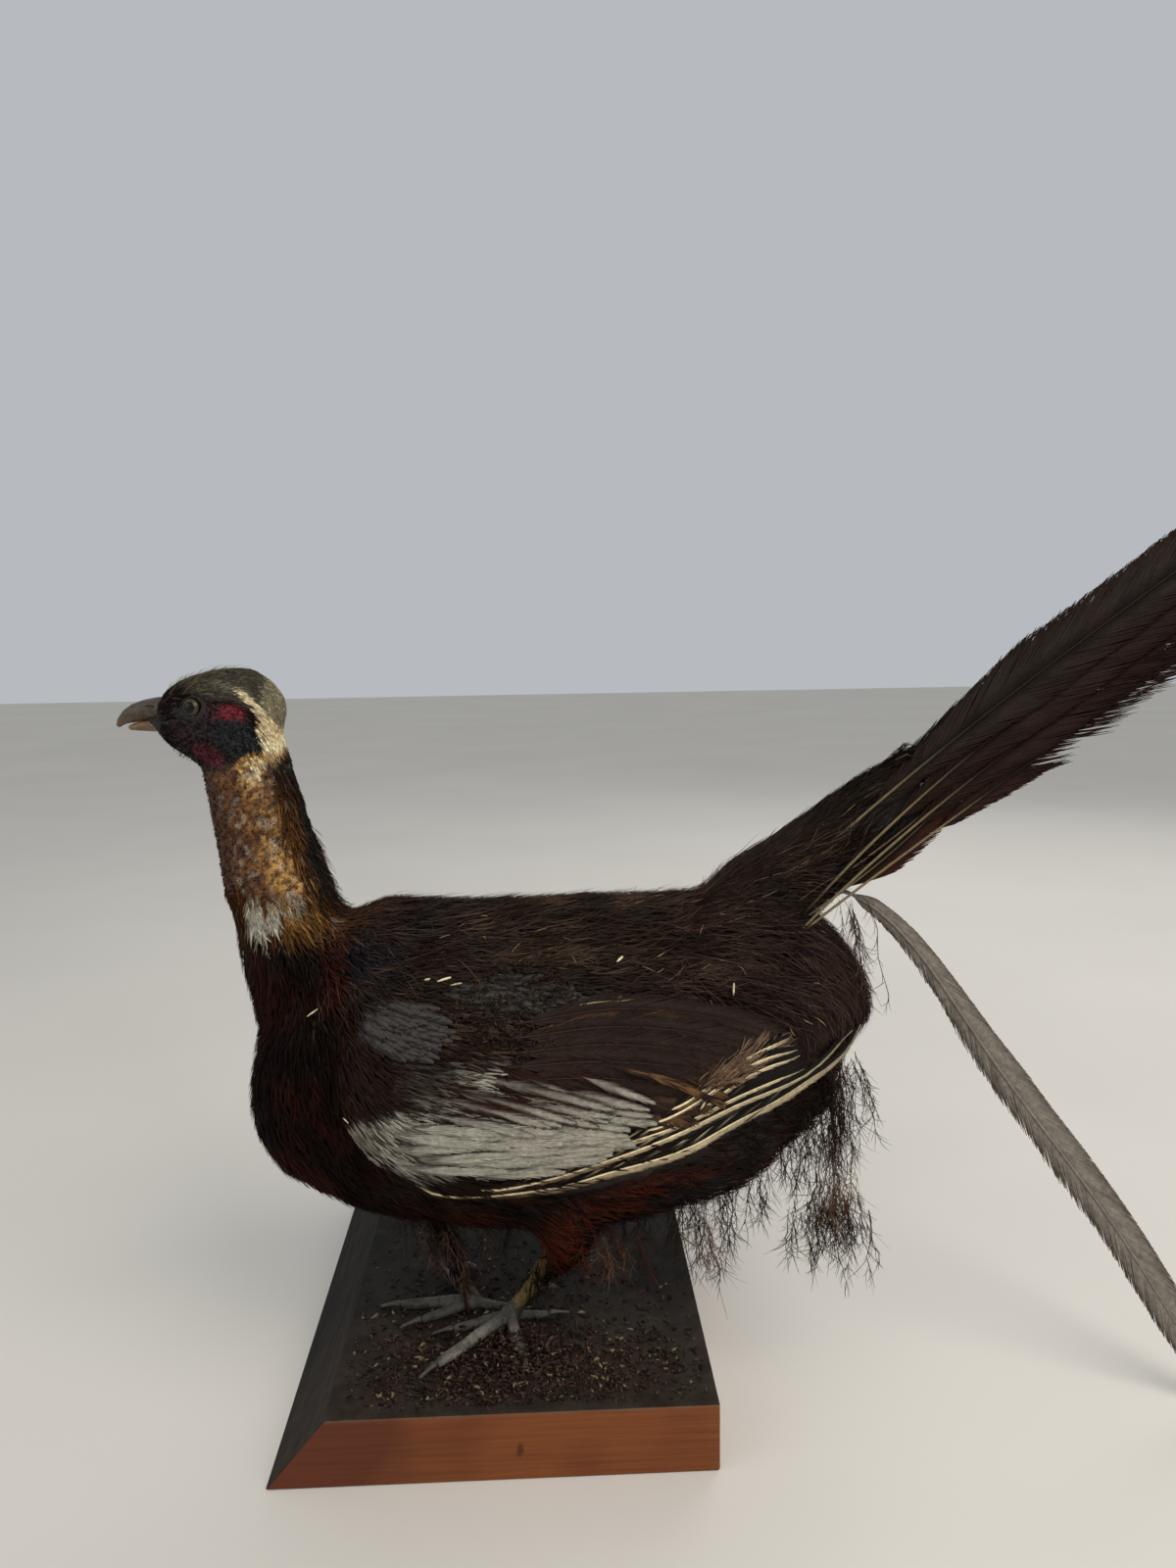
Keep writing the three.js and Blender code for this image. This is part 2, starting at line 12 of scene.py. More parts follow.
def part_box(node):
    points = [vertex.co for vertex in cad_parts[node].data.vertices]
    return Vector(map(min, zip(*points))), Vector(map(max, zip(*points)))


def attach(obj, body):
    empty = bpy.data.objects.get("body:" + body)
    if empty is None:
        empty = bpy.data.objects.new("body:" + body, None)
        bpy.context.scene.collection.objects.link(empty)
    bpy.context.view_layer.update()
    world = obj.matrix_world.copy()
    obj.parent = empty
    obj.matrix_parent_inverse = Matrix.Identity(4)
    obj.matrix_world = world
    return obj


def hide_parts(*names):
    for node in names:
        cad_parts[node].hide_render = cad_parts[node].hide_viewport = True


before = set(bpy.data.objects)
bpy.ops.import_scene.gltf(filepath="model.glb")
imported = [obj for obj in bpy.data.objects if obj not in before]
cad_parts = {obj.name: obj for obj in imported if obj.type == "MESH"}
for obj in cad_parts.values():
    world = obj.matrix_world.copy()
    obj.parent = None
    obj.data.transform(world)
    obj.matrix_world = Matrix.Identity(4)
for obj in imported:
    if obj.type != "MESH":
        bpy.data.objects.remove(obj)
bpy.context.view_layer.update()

bl_info = {
    "name": "Cock pheasant on a block",
    "version": (1, 0, 0),
    "blender": (4, 5, 0),
    "location": "View3D > Sidebar > Pheasant",
    "description": "Skin, plumage, eyes, bill, claws and block of an old mounted cock pheasant",
    "category": "Object",
}

# ---------------------------------------------------------------- places and sizes
# Shapes are worked out in the bird's own millimetres: X towards the tail, Z up from the floor, and Y
# from the bird's middle plane. MIDDLE_Y is where that plane lies in the frame.
MM = 0.001
TRUNK_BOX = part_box("trunk")
MIDDLE_Y = (TRUNK_BOX[0].y + TRUNK_BOX[1].y) / 2
BLOCK_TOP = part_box("base_board")[1].z / MM
ROOT = "root"

FLESH = ("head", "neck", "breast", "trunk", "rump", "tail_coverts", "thigh_left", "thigh_right")
WING_PARTS = ("coverts", "secondaries", "primaries")
WING_NODES = tuple(f"wing_{side}_{part}" for side in ("left", "right") for part in WING_PARTS)
TOES = ("middle", "inner", "outer", "hind")
SIDES = (("left", -1), ("right", 1))

# The bird's axis in side view, from the tip of the bill to the end of the tail coverts.
AXIS = ((-158, 340), (-140, 342), (-122, 338), (-112, 322), (-106, 298), (-100, 268), (-90, 236),
        (-70, 205), (-30, 182), (20, 172), (80, 178), (150, 195), (215, 300))
# Half the neck's depth at points of the axis, by height.
NECK_HEIGHTS = (205, 236, 268, 298, 322)
NECK_REACH = (40, 29, 24, 21, 20)

EYE_LOW, EYE_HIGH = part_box("eye_right")
EYE_X = (EYE_LOW.x + EYE_HIGH.x) / 2 / MM
EYE_Z = (EYE_LOW.z + EYE_HIGH.z) / 2 / MM
EYE_OUT = ((EYE_LOW.y + EYE_HIGH.y) / 2 - MIDDLE_Y) / MM
EYE_RADIUS = (EYE_HIGH.z - EYE_LOW.z) / 2 / MM
GLASS_RADIUS = EYE_RADIUS * 0.97 * MM  # in metres, a little smaller than the socket

# The way the feathers lie in side view: x, z, and the heading in degrees, where 0 is towards the
# tail and 90 is up.
LIE = ((-152, 345, 25), (-136, 354, 35), (-118, 362, 8), (-98, 354, -45), (-90, 334, -75),
       (-128, 338, -8), (-122, 324, -50), (-112, 300, -80), (-88, 296, -84), (-104, 268, -80),
       (-78, 262, -62), (-100, 238, -76), (-72, 240, -50), (-48, 250, -14), (-60, 222, -38),
       (-96, 205, -84), (-98, 168, -72), (-84, 130, -42), (-56, 104, -16), (-66, 180, -62),
       (0, 252, -6), (50, 252, -4), (92, 252, 8), (0, 215, -8), (0, 95, -6), (70, 90, 2),
       (130, 110, 6), (108, 232, -18), (134, 240, -38), (158, 226, -52), (150, 205, -54),
       (176, 200, -60), (150, 150, -14), (120, 132, -8), (118, 252, 30), (160, 280, 37),
       (205, 305, 37), (60, 170, 0), (36, 80, -60), (-26, 84, -70))
LIE_REACH = 15.0
TAIL_RISE = 0.642  # the slope of the tail, in radians

MOST_TRIANGLES = 200000  # in any one piece
SHAFT_SAMPLES = 6000  # points taken on a feather's node to find its middle line
BILL_VOXEL = 0.00042
KNOT_AT = (0.012, -0.131, 0.014)


def to_frame(points):
    """Bird millimetres to frame metres."""
    return (np.asarray(points, float) + (0, MIDDLE_Y / MM, 0)) * MM


def to_bird(points):
    """Frame metres to bird millimetres."""
    return np.asarray(points, float) / MM - (0, MIDDLE_Y / MM, 0)


def unit(vectors):
    """The same directions, one long."""
    return vectors / np.maximum(np.linalg.norm(vectors, axis=-1, keepdims=True), 1e-9)


def smooth(low, high, value):
    """0 below low and 1 above high, with a soft step between. low may be the higher one."""
    share = np.clip((value - low) / (high - low), 0, 1)
    return share * share * (3 - 2 * share)


def cell_noise(cells, seed):
    """A repeatable number from 0 to 1 for each whole-numbered cell."""
    n = cells[..., 0] * 73856093 ^ cells[..., 1] * 19349663 ^ cells[..., 2] * 83492791
    n = n ^ seed * 2654435
    n = (n ^ (n >> 13)) * 1274126177
    n = (n ^ (n >> 16)) * 73244475
    return ((n >> 9) & 0xFFFF) / 65535.0


def mottle(points, size, seed=1):
    """Smooth random blotches from 0 to 1, each about size across."""
    places = np.asarray(points, float) / size
    cells = np.floor(places).astype(np.int64)
    share = places - cells
    share = share * share * (3 - 2 * share)
    total = 0.0
    for corner in range(8):
        step = np.array([corner & 1, corner >> 1 & 1, corner >> 2 & 1])
        weight = np.prod(np.where(step, share, 1 - share), axis=-1)
        total = total + weight * cell_noise(cells + step, seed)
    return total


def smooth_line(points, count):
    """count points on a smooth line through the few points given."""
    knots = np.asarray(points, float)
    knots = np.vstack([2 * knots[0] - knots[1], knots, 2 * knots[-1] - knots[-2]])
    place = np.linspace(0, len(points) - 1 - 1e-6, count)
    start = place.astype(int)
    t = (place - start)[:, None]
    a, b, c, d = (knots[start + k] for k in range(4))
    return 0.5 * (2 * b + (c - a) * t + (2 * a - 5 * b + 4 * c - d) * t**2
                  + (3 * b - a - 3 * c + d) * t**3)


AXIS_LINE = smooth_line(AXIS, 120)


def unwrap(points):
    """Where points of the bird lie on an unwrap of its skin: along its axis, and round it."""
    points = np.asarray(points, float)
    share = np.empty(len(points))
    angle = np.empty(len(points))
    tangents = unit(np.gradient(AXIS_LINE, axis=0))
    for first in range(0, len(points), 20000):
        part = points[first:first + 20000]
        gap = part[:, None, [0, 2]] - AXIS_LINE[None]
        near = np.argmin((gap**2).sum(-1), axis=1)
        rows = np.arange(len(part))
        along = tangents[near]
        away = gap[rows, near]
        rise = away[:, 1] * along[:, 0] - away[:, 0] * along[:, 1]
        share[first:first + 20000] = (near + (away * along).sum(-1) * 0.3) / len(AXIS_LINE)
        angle[first:first + 20000] = np.arctan2(part[:, 1], rise)
    across = angle / (2 * math.pi) + 0.5
    return np.clip(np.stack([share, across], axis=-1), 0, 1) * 0.98 + 0.01


def lie_of(points):
    """The way the feathers lie at each point, in side view, as directions in the bird."""
    guides = np.array(LIE, float)
    gap = (points[:, None, [0, 2]] - guides[None, :, :2])
    weight = np.exp(-(gap**2).sum(-1) / (2 * LIE_REACH**2)) + 1e-9 / (1 + (gap**2).sum(-1))
    turn = np.radians(guides[:, 2])
    x = (weight * np.cos(turn)).sum(-1)
    z = (weight * np.sin(turn)).sum(-1)
    return unit(np.stack([x, np.zeros_like(x), z], axis=-1))


# ---------------------------------------------------------------- colours and settings
def tone(code):
    """A screen colour code as linear red, green and blue."""
    parts = [int(code[i:i + 2], 16) / 255 for i in (0, 2, 4)]
    return tuple(p / 12.92 if p <= 0.04045 else ((p + 0.055) / 1.055) ** 2.4 for p in parts)


def colour(name, code, description):
    """A colour setting."""
    return FloatVectorProperty(name=name, description=description, subtype="COLOR", size=3,
                               min=0.0, max=1.0, default=tone(code))


def length(name, default, least, description):
    """A setting in metres."""
    return FloatProperty(name=name, description=description, default=default, min=least,
                         unit="LENGTH")


def number(name, default, description):
    """A setting that counts things."""
    return IntProperty(name=name, description=description, default=default, min=0)


class PheasantColours(bpy.types.PropertyGroup):
    """The colours of the skin, plumage, horn and block."""

    crown: colour("Crown", "4B463B", "Dusty brown-grey crown")
    olive: colour("Olive", "676350", "Paler streak beside the crown")
    nape: colour("Nape", "8C8269", "Greyish tan nape")
    cream: colour("Cream", "FFEDC0", "Faded cream behind the face")
    crimson: colour("Crimson", "5E1420", "Brightest red of the face")
    dark_crimson: colour("Dark crimson", "22070A", "Dried red of the lower face")
    face: colour("Face", "190E0F", "Black-purple round the eye and bill")
    cheek: colour("Cheek", "121214", "Blue-black cheek patch")
    neck_front: colour("Neck front", "42240F", "Brown front of the bare neck")
    neck_middle: colour("Neck middle", "64401D", "Rusty brown side of the neck")
    # Neck gold stands for faded gold together with a painted highlight on the lit back of the neck.
    neck_gold_and_highlight: colour("Neck gold", "AE8446", "Faded gold back of the neck")
    neck_back: colour("Neck back", "171C1A", "Dark green-blue feathers behind the neck")
    collar: colour("Collar", "B3AC9C", "Remains of the white collar")
    breast: colour("Breast", "120704", "Blackish maroon breast")
    copper: colour("Copper", "38140A", "Copper-red streaks")
    mantle: colour("Mantle", "231D1A", "Charcoal mantle")
    blue_black: colour("Blue-black", "181B22", "Blue-black base of the neck")
    back: colour("Back", "261D17", "Grey-brown back")
    rump: colour("Rump", "271A1C", "Purple-brown rump")
    belly: colour("Belly", "150D09", "Black-brown belly")
    rust: colour("Rust", "4A1C0D", "Rusty red of the belly and boots")
    slate: colour("Slate", "3F3C3A", "Slate-grey patch on the wing")
    shoulder: colour("Shoulder", "241813", "Purple-brown shoulder")
    pale: colour("Pale coverts", "A8A394", "Pale grey-cream wing coverts")
    maroon: colour("Maroon", "28120C", "Maroon between the pale coverts")
    secondary: colour("Secondaries", "281C17", "Purple-brown inner quills")
    dusty: colour("Dusty tan", "6B5544", "Pinkish tan patch over the quills")
    golden: colour("Golden", "745534", "Golden brown of the quills")
    quill_cream: colour("Quill cream", "E2CFA8", "Cream outer vanes and shafts")
    quill_dark: colour("Quill dark", "140F0B", "Dark inner vanes of the quills")
    tail: colour("Tail", "140D08", "Dark brown tail")
    tail_grey: colour("Tail grey", "231D17", "Grey-brown upper tail feathers")
    tail_red: colour("Tail red", "36150A", "Red-brown lower tail feathers")
    straw: colour("Straw", "9F8C69", "Bare shafts and straw")
    hanging: colour("Loose feather", "7B7369", "Taupe loose tail feather")
    horn: colour("Horn", "3A3024", "Bill and claws")
    horn_pale: colour("Pale horn", "6F512D", "Yellower lower bill")
    leg: colour("Leg", "5E4C26", "Yellowish scaled leg")
    toe: colour("Toe", "3D3A34", "Silvery toes")
    leg_pink: colour("Far leg", "584038", "Pinkish far leg")
    iris: colour("Iris", "4A452C", "Pale olive iris")
    dust: colour("Dust", "5F574C", "Dust on upward faces")
    wood: colour("Wood", "5E2F1B", "Rust-brown varnished wood")
    wood_light: colour("Light wood", "7C4521", "Orange light bands of the wood")
    wood_dark: colour("Dark wood", "432214", "Dark grain of the wood")
    block_top: colour("Block top", "251D15", "Grimy top of the block")


class PheasantSizes(bpy.types.PropertyGroup):
    """The sizes and numbers of the coat."""

    body_voxel: length("Body voxel", 0.0027, 0.001, "Grid that the skin is made on")
    leg_voxel: length("Leg voxel", 0.00062, 0.0003, "Grid that the legs are made on")
    coat_depth: length("Coat depth", 0.004, 0.0, "Skin to feather tips on the trunk")
    crown_plumes: number("Crown plumes", 4000, "Plumes on the crown and nape")
    face_plumes: number("Face plumes", 3000, "Velvety points on the red face")
    neck_plumes: number("Neck plumes", 6600, "Stubs and wisps on the neck")
    back_plumes: number("Back plumes", 5300, "Plumes on the mantle and back")
    breast_plumes: number("Breast plumes", 7200, "Plumes on the breast")
    belly_plumes: number("Belly plumes", 4300, "Plumes on belly, flanks, thighs")
    rump_plumes: number("Rump plumes", 3400, "Long draped plumes of the rump")
    covert_plumes: number("Wing plumes", 6400, "Small coverts of both wings")
    barb_gap: length("Barb gap", 0.0009, 0.0003, "Space between barbs of the quills")
    grit: number("Grit", 3600, "Bits of grit and plant litter on the block")


class PheasantStage(bpy.types.PropertyGroup):
    """The floor, lights and camera."""

    floor: colour("Floor", "D8D2C8", "Pale plain floor")
    sky: FloatProperty(name="Sky", description="Strength of the even light", default=0.55, min=0.0)
    key: FloatProperty(name="Key light", description="Power of the large key light",
                       default=16.0, min=0.0)
    fill: FloatProperty(name="Fill light", description="Power of the fill light",
                        default=5.0, min=0.0)
    lens: FloatProperty(name="Lens", description="Focal length on a 36 mm long side",
                        default=27.045, min=1.0, unit="CAMERA")
    camera_at: FloatVectorProperty(name="Camera", description="Where the camera stands",
                                   default=(0.02799, -0.61431, 0.37965), subtype="TRANSLATION")
    pitch: FloatProperty(name="Pitch", description="How far the camera looks down",
                         default=math.radians(7.677), subtype="ANGLE")
    yaw: FloatProperty(name="Yaw", description="How far the camera turns to the tail",
                       default=math.radians(2.2535), subtype="ANGLE")
    roll: FloatProperty(name="Roll", description="How far the camera is tipped",
                        default=math.radians(0.9), subtype="ANGLE")


def colours():
    """The colour settings in use."""
    return bpy.context.scene.pheasant_colours


def ink(name):
    """One of the colours in use, as an array."""
    return np.array(getattr(colours(), name)[:3])


def rows_of(name, count):
    """One of the colours in use, as rows of an array."""
    return np.tile(ink(name), (count, 1))


def mixed(first, second, share):
    """first where share is 0 and second where it is 1."""
    return first + (second - first) * np.asarray(share)[..., None]


def sizes():
    """The size settings in use."""
    return bpy.context.scene.pheasant_sizes


# ---------------------------------------------------------------- markings
# Each mark is a soft ellipse in side view: its colour, middle x and z, half width and half height,
# turn in degrees, and strength. Later marks lie over earlier ones.
BODY_MARKS = (
    ("back", 40, 235, 110, 45, 0, 1.0),
    ("mantle", -42, 236, 46, 34, -10, 1.0),
    ("blue_black", -66, 244, 15, 22, 12, 0.9),
    ("breast", -88, 168, 38, 78, 4, 1.0),
    ("copper", -71, 228, 6, 17, 8, 0.6),
    ("copper", -108, 214, 9, 22, 5, 0.35),
    ("rust", -96, 128, 16, 22, 40, 0.25),
    ("belly", 20, 96, 130, 34, 2, 1.0),
    ("rust", 64, 122, 34, 5, 14, 0.75),
    ("rust", 50, 109, 20, 4, 0, 0.8),
    ("rust", -20, 108, 30, 6, -8, 0.3),
    ("rust", 26, 90, 13, 17, -38, 0.8),
    ("rump", 134, 205, 56, 52, -20, 1.0),
    ("belly", 132, 140, 46, 30, 14, 0.9),
    ("back", 108, 214, 22, 20, 0, 0.7),
    ("dusty", 156, 204, 14, 34, 10, 0.22),
    ("back", 120, 256, 46, 22, 30, 0.8),
    ("tail", 190, 290, 60, 32, 37, 0.9),
)
WING_MARKS = (
    ("shoulder", -20, 190, 70, 50, 0, 1.0),
    ("secondary", 78, 200, 90, 26, -6, 1.0),
    ("back", 30, 226, 90, 14, 0, 0.8),
    ("rust", -62, 158, 8, 22, 12, 0.4),
    ("pale", -34, 156, 30, 18, 4, 1.0),
    ("pale", 20, 166, 42, 24, -10, 0.9),
    ("shoulder", -36, 161, 9, 4, 0, 0.6),
    ("pale", -20, 181, 24, 11, -14, 0.4),
    ("shoulder", -42, 188, 24, 11, 0, 0.8),
    ("slate", -42, 206, 14, 10, 0, 1.0),
    ("slate", 8, 214, 26, 7, -6, 0.6),
)
HEAD_MARKS = (
    ("face", -132, 336, 26, 22, 0, 1.0),
    ("dark_crimson", -134, 330, 9, 4, -40, 0.9),
    ("crimson", -125, 323, 9, 4.5, -28, 0.4),
    ("face", -130, 342, 12, 8, 0, 0.9),
    ("dark_crimson", -120, 342, 5, 8, 0, 0.7),
    ("crimson", -113.5, 341.5, 6.5, 5.5, -18, 1.0),
    ("cheek", -111, 331, 12.5, 8.5, -30, 1.0),
    ("crown", -114, 359, 32, 11, -8, 1.0),
    ("olive", -115, 354, 10, 2.2, -14, 0.8),
    ("nape", -93, 348, 8, 18, 18, 1.0),
    ("cream", -108, 350, 7.5, 1.5, -42, 0.9),
    ("cream", -101, 343, 6, 2.6, -46, 0.8),
    ("cream", -97.5, 332, 5, 9, 6, 1.0),
    # The neck gold just below the head is partly a painted highlight.
    ("neck_gold_and_highlight", -98, 336, 4.5, 6, 10, 0.25),
    ("neck_gold_and_highlight", -103, 320.5, 11, 4, 20, 0.9),
    ("cream", -101, 321, 7, 2.2, 22, 0.6),
)


def spot(points, x, z, wide, high, turn):
    """1 inside a ragged ellipse in side view, and 0 outside."""
    warp = 0.3 * min(wide, high)
    size = max(2.5, 0.5 * min(wide, high))
    across = points[:, 0] - x + warp * (mottle(points, size, 11) - 0.5)
    rise = points[:, 2] - z + warp * (mottle(points, size, 12) - 0.5)
    a = math.radians(turn)
    u = (across * math.cos(a) + rise * math.sin(a)) / wide
    v = (rise * math.cos(a) - across * math.sin(a)) / high
    return smooth(1.15, 0.8, np.hypot(u, v))


def paint(base, name, mask):
    """Lays a named colour over base where mask is high."""
    return mixed(base, ink(name), mask)


def neck_side(points):
    """From -1 at the front of the neck to 1 at its back."""
    middle = np.interp(points[:, 2], [p[1] for p in AXIS[7:2:-1]], [p[0] for p in AXIS[7:2:-1]])
    reach = np.interp(points[:, 2], NECK_HEIGHTS, NECK_REACH)
    return np.clip((points[:, 0] - middle) / reach, -1.2, 1.2)


def neck_markings(points, base):
    """The bare neck: brown in front, gold behind the middle that is partly a painted highlight, and
    dark feathers at the back.
    """
    side = neck_side(points) + 0.3 * (mottle(points, 7, 21) - 0.5)
    grain = mottle(points, 1.9, 22)
    inside = smooth(236, 250, points[:, 2]) * smooth(330, 318, points[:, 2])
    inside = inside * smooth(-48, -64, points[:, 0])
    skin = paint(base, "neck_front", inside)
    skin = paint(skin, "neck_middle", inside * smooth(-0.75, -0.2, side + 0.5 * (grain - 0.5)))
    pits = smooth(0.5, 0.72, mottle(points, 2.3, 25))
    high = smooth(246, 262, points[:, 2]) * smooth(289, 278, points[:, 2])
    high = np.maximum(high, smooth(296, 308, points[:, 2]))
    # Gold behind the middle of the neck, flecked by the grain: faded gold with a painted highlight and
    # painted glints.
    gold = smooth(-0.25, 0.2, side) * smooth(0.75, 0.4, side) * (0.4 + 0.4 * high)
    skin = paint(skin, "neck_gold_and_highlight", inside * gold * smooth(0.3, 0.65, grain + 0.15 * gold))
    bright = smooth(306, 318, points[:, 2]) * smooth(-0.2, 0.3, side) * smooth(0.9, 0.5, side)
    skin = paint(skin, "cream", inside * bright * smooth(0.35, 0.6, grain) * 0.8)
    skin = paint(skin, "neck_back", inside * smooth(0.62, 0.88, side + 0.1 * (grain - 0.5)))
    skin = paint(skin, "neck_front", inside * pits * 0.85)
    skin = paint(skin, "face", 0.55 * inside * smooth(0.58, 0.74, mottle(points, 1.6, 27)))
    fleck = smooth(0.66, 0.8, mottle(points, 2.6, 24)) * smooth(0.9, 0.4, np.abs(side))
    skin = paint(skin, "collar", inside * fleck * 0.3)
    band = np.maximum(spot(points, -106, 249, 4.5, 9, 8), spot(points, -98, 252, 2.6, 8, 4))
    band = np.maximum(band, 0.45 * spot(points, -90, 255, 6, 5, 0))
    skin = paint(skin, "collar", band * smooth(0.3, 0.45, mottle(points * (1, 1, 0.3), 3, 23)))
    return paint(skin, "cheek", 0.9 * spot(points, -100, 238, 6, 3.5, -20))


def markings(points):
    """The colour of the body's skin and feathers at each point."""
    base = rows_of("back", len(points))
    for name, x, z, wide, high, turn, strength in BODY_MARKS:
        base = paint(base, name, strength * spot(points, x, z, wide, high, turn))
    base = neck_markings(points, base)
    head = smooth(314, 322, points[:, 2] - 0.2 * (points[:, 0] + 112))
    head = head * smooth(-60, -80, points[:, 0])
    top = paint(base, "face", np.ones(len(points)))
    broken = smooth(0.1, 0.32, mottle(points * (1, 1, 0.7), 2.0, 26))
    for name, x, z, wide, high, turn, strength in HEAD_MARKS:
        mask = strength * spot(points, x, z, wide, high, turn)
        top = paint(top, name, mask * (broken if name == "cream" else 1.0))
    return mixed(base, top, head)


def wing_markings(points):
    """The colour of the folded wing's small feathers at each point."""
    base = rows_of("shoulder", len(points))
    for name, x, z, wide, high, turn, strength in WING_MARKS:
        base = paint(base, name, strength * spot(points, x, z, wide, high, turn))
    blotch = smooth(0.5, 0.7, mottle(points, 5, 33)) * smooth(-8, -26, points[:, 0])
    base = paint(base, "shoulder", 0.6 * blotch * smooth(196, 188, points[:, 2]))
    flecks = smooth(0.55, 0.7, mottle(points, 2.2, 38)) * spot(points, -4, 204, 34, 14, -8)
    base = paint(base, "dusty", 0.45 * flecks)
    speck = smooth(0.6, 0.72, mottle(points, 2.6, 36)) * smooth(0, -24, points[:, 0])
    return paint(base, "shoulder", 0.8 * speck)


def leg_markings(points):
    """Scaled yellowish near leg, pinkish far leg and grey toes, with a painted highlight on the near
    foot.
    """
    base = rows_of("leg", len(points))
    base = paint(base, "leg_pink", smooth(-4, 2, points[:, 1]) * smooth(41, 50, points[:, 2]))
    base = paint(base, "toe", smooth(50, 41, points[:, 2]))
    # The near foot is lightened towards pale: a painted highlight.
    near_foot_highlight = spot(points, 8, 38, 34, 14, 0) * smooth(-14, -22, points[:, 1])
    base = paint(base, "collar", 0.22 * near_foot_highlight)
    grime = smooth(0.45, 0.75, mottle(points, 3, 31))
    return base * (1 - 0.45 * grime)[:, None]


# ---------------------------------------------------------------- materials
class Wire:
    """A socket of a node tree that can be used in sums, as a number is."""

    def __init__(self, finish, socket):
        self.finish = finish
        self.socket = socket

    def _sum(self, operation, *values):
        inputs = dict(enumerate(values))
        return self.finish.node("Math", settings={"operation": operation}, inputs=inputs)

    def __add__(self, other):
        return self._sum("ADD", self, other)

    def __radd__(self, other):
        return self._sum("ADD", other, self)

    def __sub__(self, other):
        return self._sum("SUBTRACT", self, other)

    def __rsub__(self, other):
        return self._sum("SUBTRACT", other, self)

    def __mul__(self, other):
        return self._sum("MULTIPLY", self, other)

    def __rmul__(self, other):
        return self._sum("MULTIPLY", other, self)

    def __truediv__(self, other):
        return self._sum("DIVIDE", self, other)

    def ramp(self, low, high, start=0.0, end=1.0):
        """start below low and end above high, in a straight line between."""
        inputs = {"Value": self, "From Min": low, "From Max": high, "To Min": start, "To Max": end}
        return self.finish.node("MapRange", inputs=inputs)


class Finish:
    """A material being made, with its shader and a way to add nodes."""

    def __init__(self, name, **sockets):
        self.material = bpy.data.materials.new(name)
        self.material.use_nodes = True
        self.tree = self.material.node_tree
        self.shader = self.tree.nodes["Principled BSDF"]
        for socket, value in sockets.items():
            label = socket.replace("_", " ").title().replace("Ior", "IOR")
            self.shader.inputs[label].default_value = value
        self.place = self.node("TexCoord", output="Object")

    def plug(self, socket, value):
        """Links a wire to a socket, or sets a plain value."""
        if isinstance(value, Wire):
            self.tree.links.new(value.socket, socket)
        elif hasattr(value, "__len__") and len(value) == 3 and socket.type == "RGBA":
            socket.default_value = (*value, 1.0)
        else:
            socket.default_value = value

    def node(self, kind, output=0, settings=None, inputs=None):
        """Adds a node, sets it up, joins its sockets, and returns the output asked for."""
        made = self.tree.nodes.new("ShaderNode" + kind)
        for name, value in (settings or {}).items():
            setattr(made, name, value)
        for name, value in (inputs or {}).items():
            self.plug(made.inputs[name], value)
        return Wire(self, made.outputs[output])

    def vector(self, operation, *values, output=0):
        """Works something out from vectors."""
        inputs = dict(enumerate(values))
        return self.node("VectorMath", output, settings={"operation": operation}, inputs=inputs)

    def stretched(self, scale, place=None):
        """A place stretched along each axis."""
        return self.node("Mapping", inputs={"Vector": place or self.place, "Scale": scale})

    def noise(self, scale, place=None, detail=3.0, rough=0.55):
        """Cloudy noise from about 0.3 to 0.7."""
        inputs = {"Vector": place or self.place, "Scale": scale, "Detail": detail, "Roughness": rough}
        return self.node("TexNoise", output="Fac", inputs=inputs)

    def cells(self, scale):
        """Distance to the nearest of scattered points."""
        return self.node("TexVoronoi", inputs={"Vector": self.place, "Scale": scale})

    def blend(self, share, first, second, way="MIX"):
        """Mixes two colours."""
        settings = {"data_type": "RGBA", "blend_type": way}
        return self.node("Mix", output=2, settings=settings, inputs={0: share, 6: first, 7: second})

    def shade(self, base, amount):
        """A colour made darker or lighter by a number."""
        grey = self.node("CombineColor", inputs={"Red": amount, "Green": amount, "Blue": amount})
        return self.blend(1.0, base, grey, "MULTIPLY")

    def tint(self):
        """The colour that the mesh carries."""
        return self.node("Attribute", output="Color", settings={"attribute_name": "tint"})

    def part(self, axis, vector):
        """The X, Y or Z of a vector."""
        return self.node("SeparateXYZ", output=axis, inputs={"Vector": vector})

    def facing_up(self):
        """1 on faces that look up, 0 on upright ones, and -1 on faces that look down."""
        return self.part("Z", self.node("NewGeometry", output="Normal"))

    def dusted(self, base, amount):
        """A colour with dust on the faces that look up."""
        patch = self.noise(70.0, detail=4.0).ramp(0.42, 0.62)
        share = self.facing_up().ramp(0.2, 1.0) * patch * amount
        return self.blend(share, base, ink("dust"))

    def bump(self, height, strength, distance=0.001):
        """Raises the surface by a pattern."""
        inputs = {"Height": height, "Strength": strength, "Distance": distance}
        self.plug(self.shader.inputs["Normal"], self.node("Bump", inputs=inputs))

    def done(self, base, roughness=None):
        """Joins the colour and roughness to the shader and returns the material."""
        self.plug(self.shader.inputs["Base Color"], base)
        if roughness is not None:
            self.plug(self.shader.inputs["Roughness"], roughness)
        return self.material


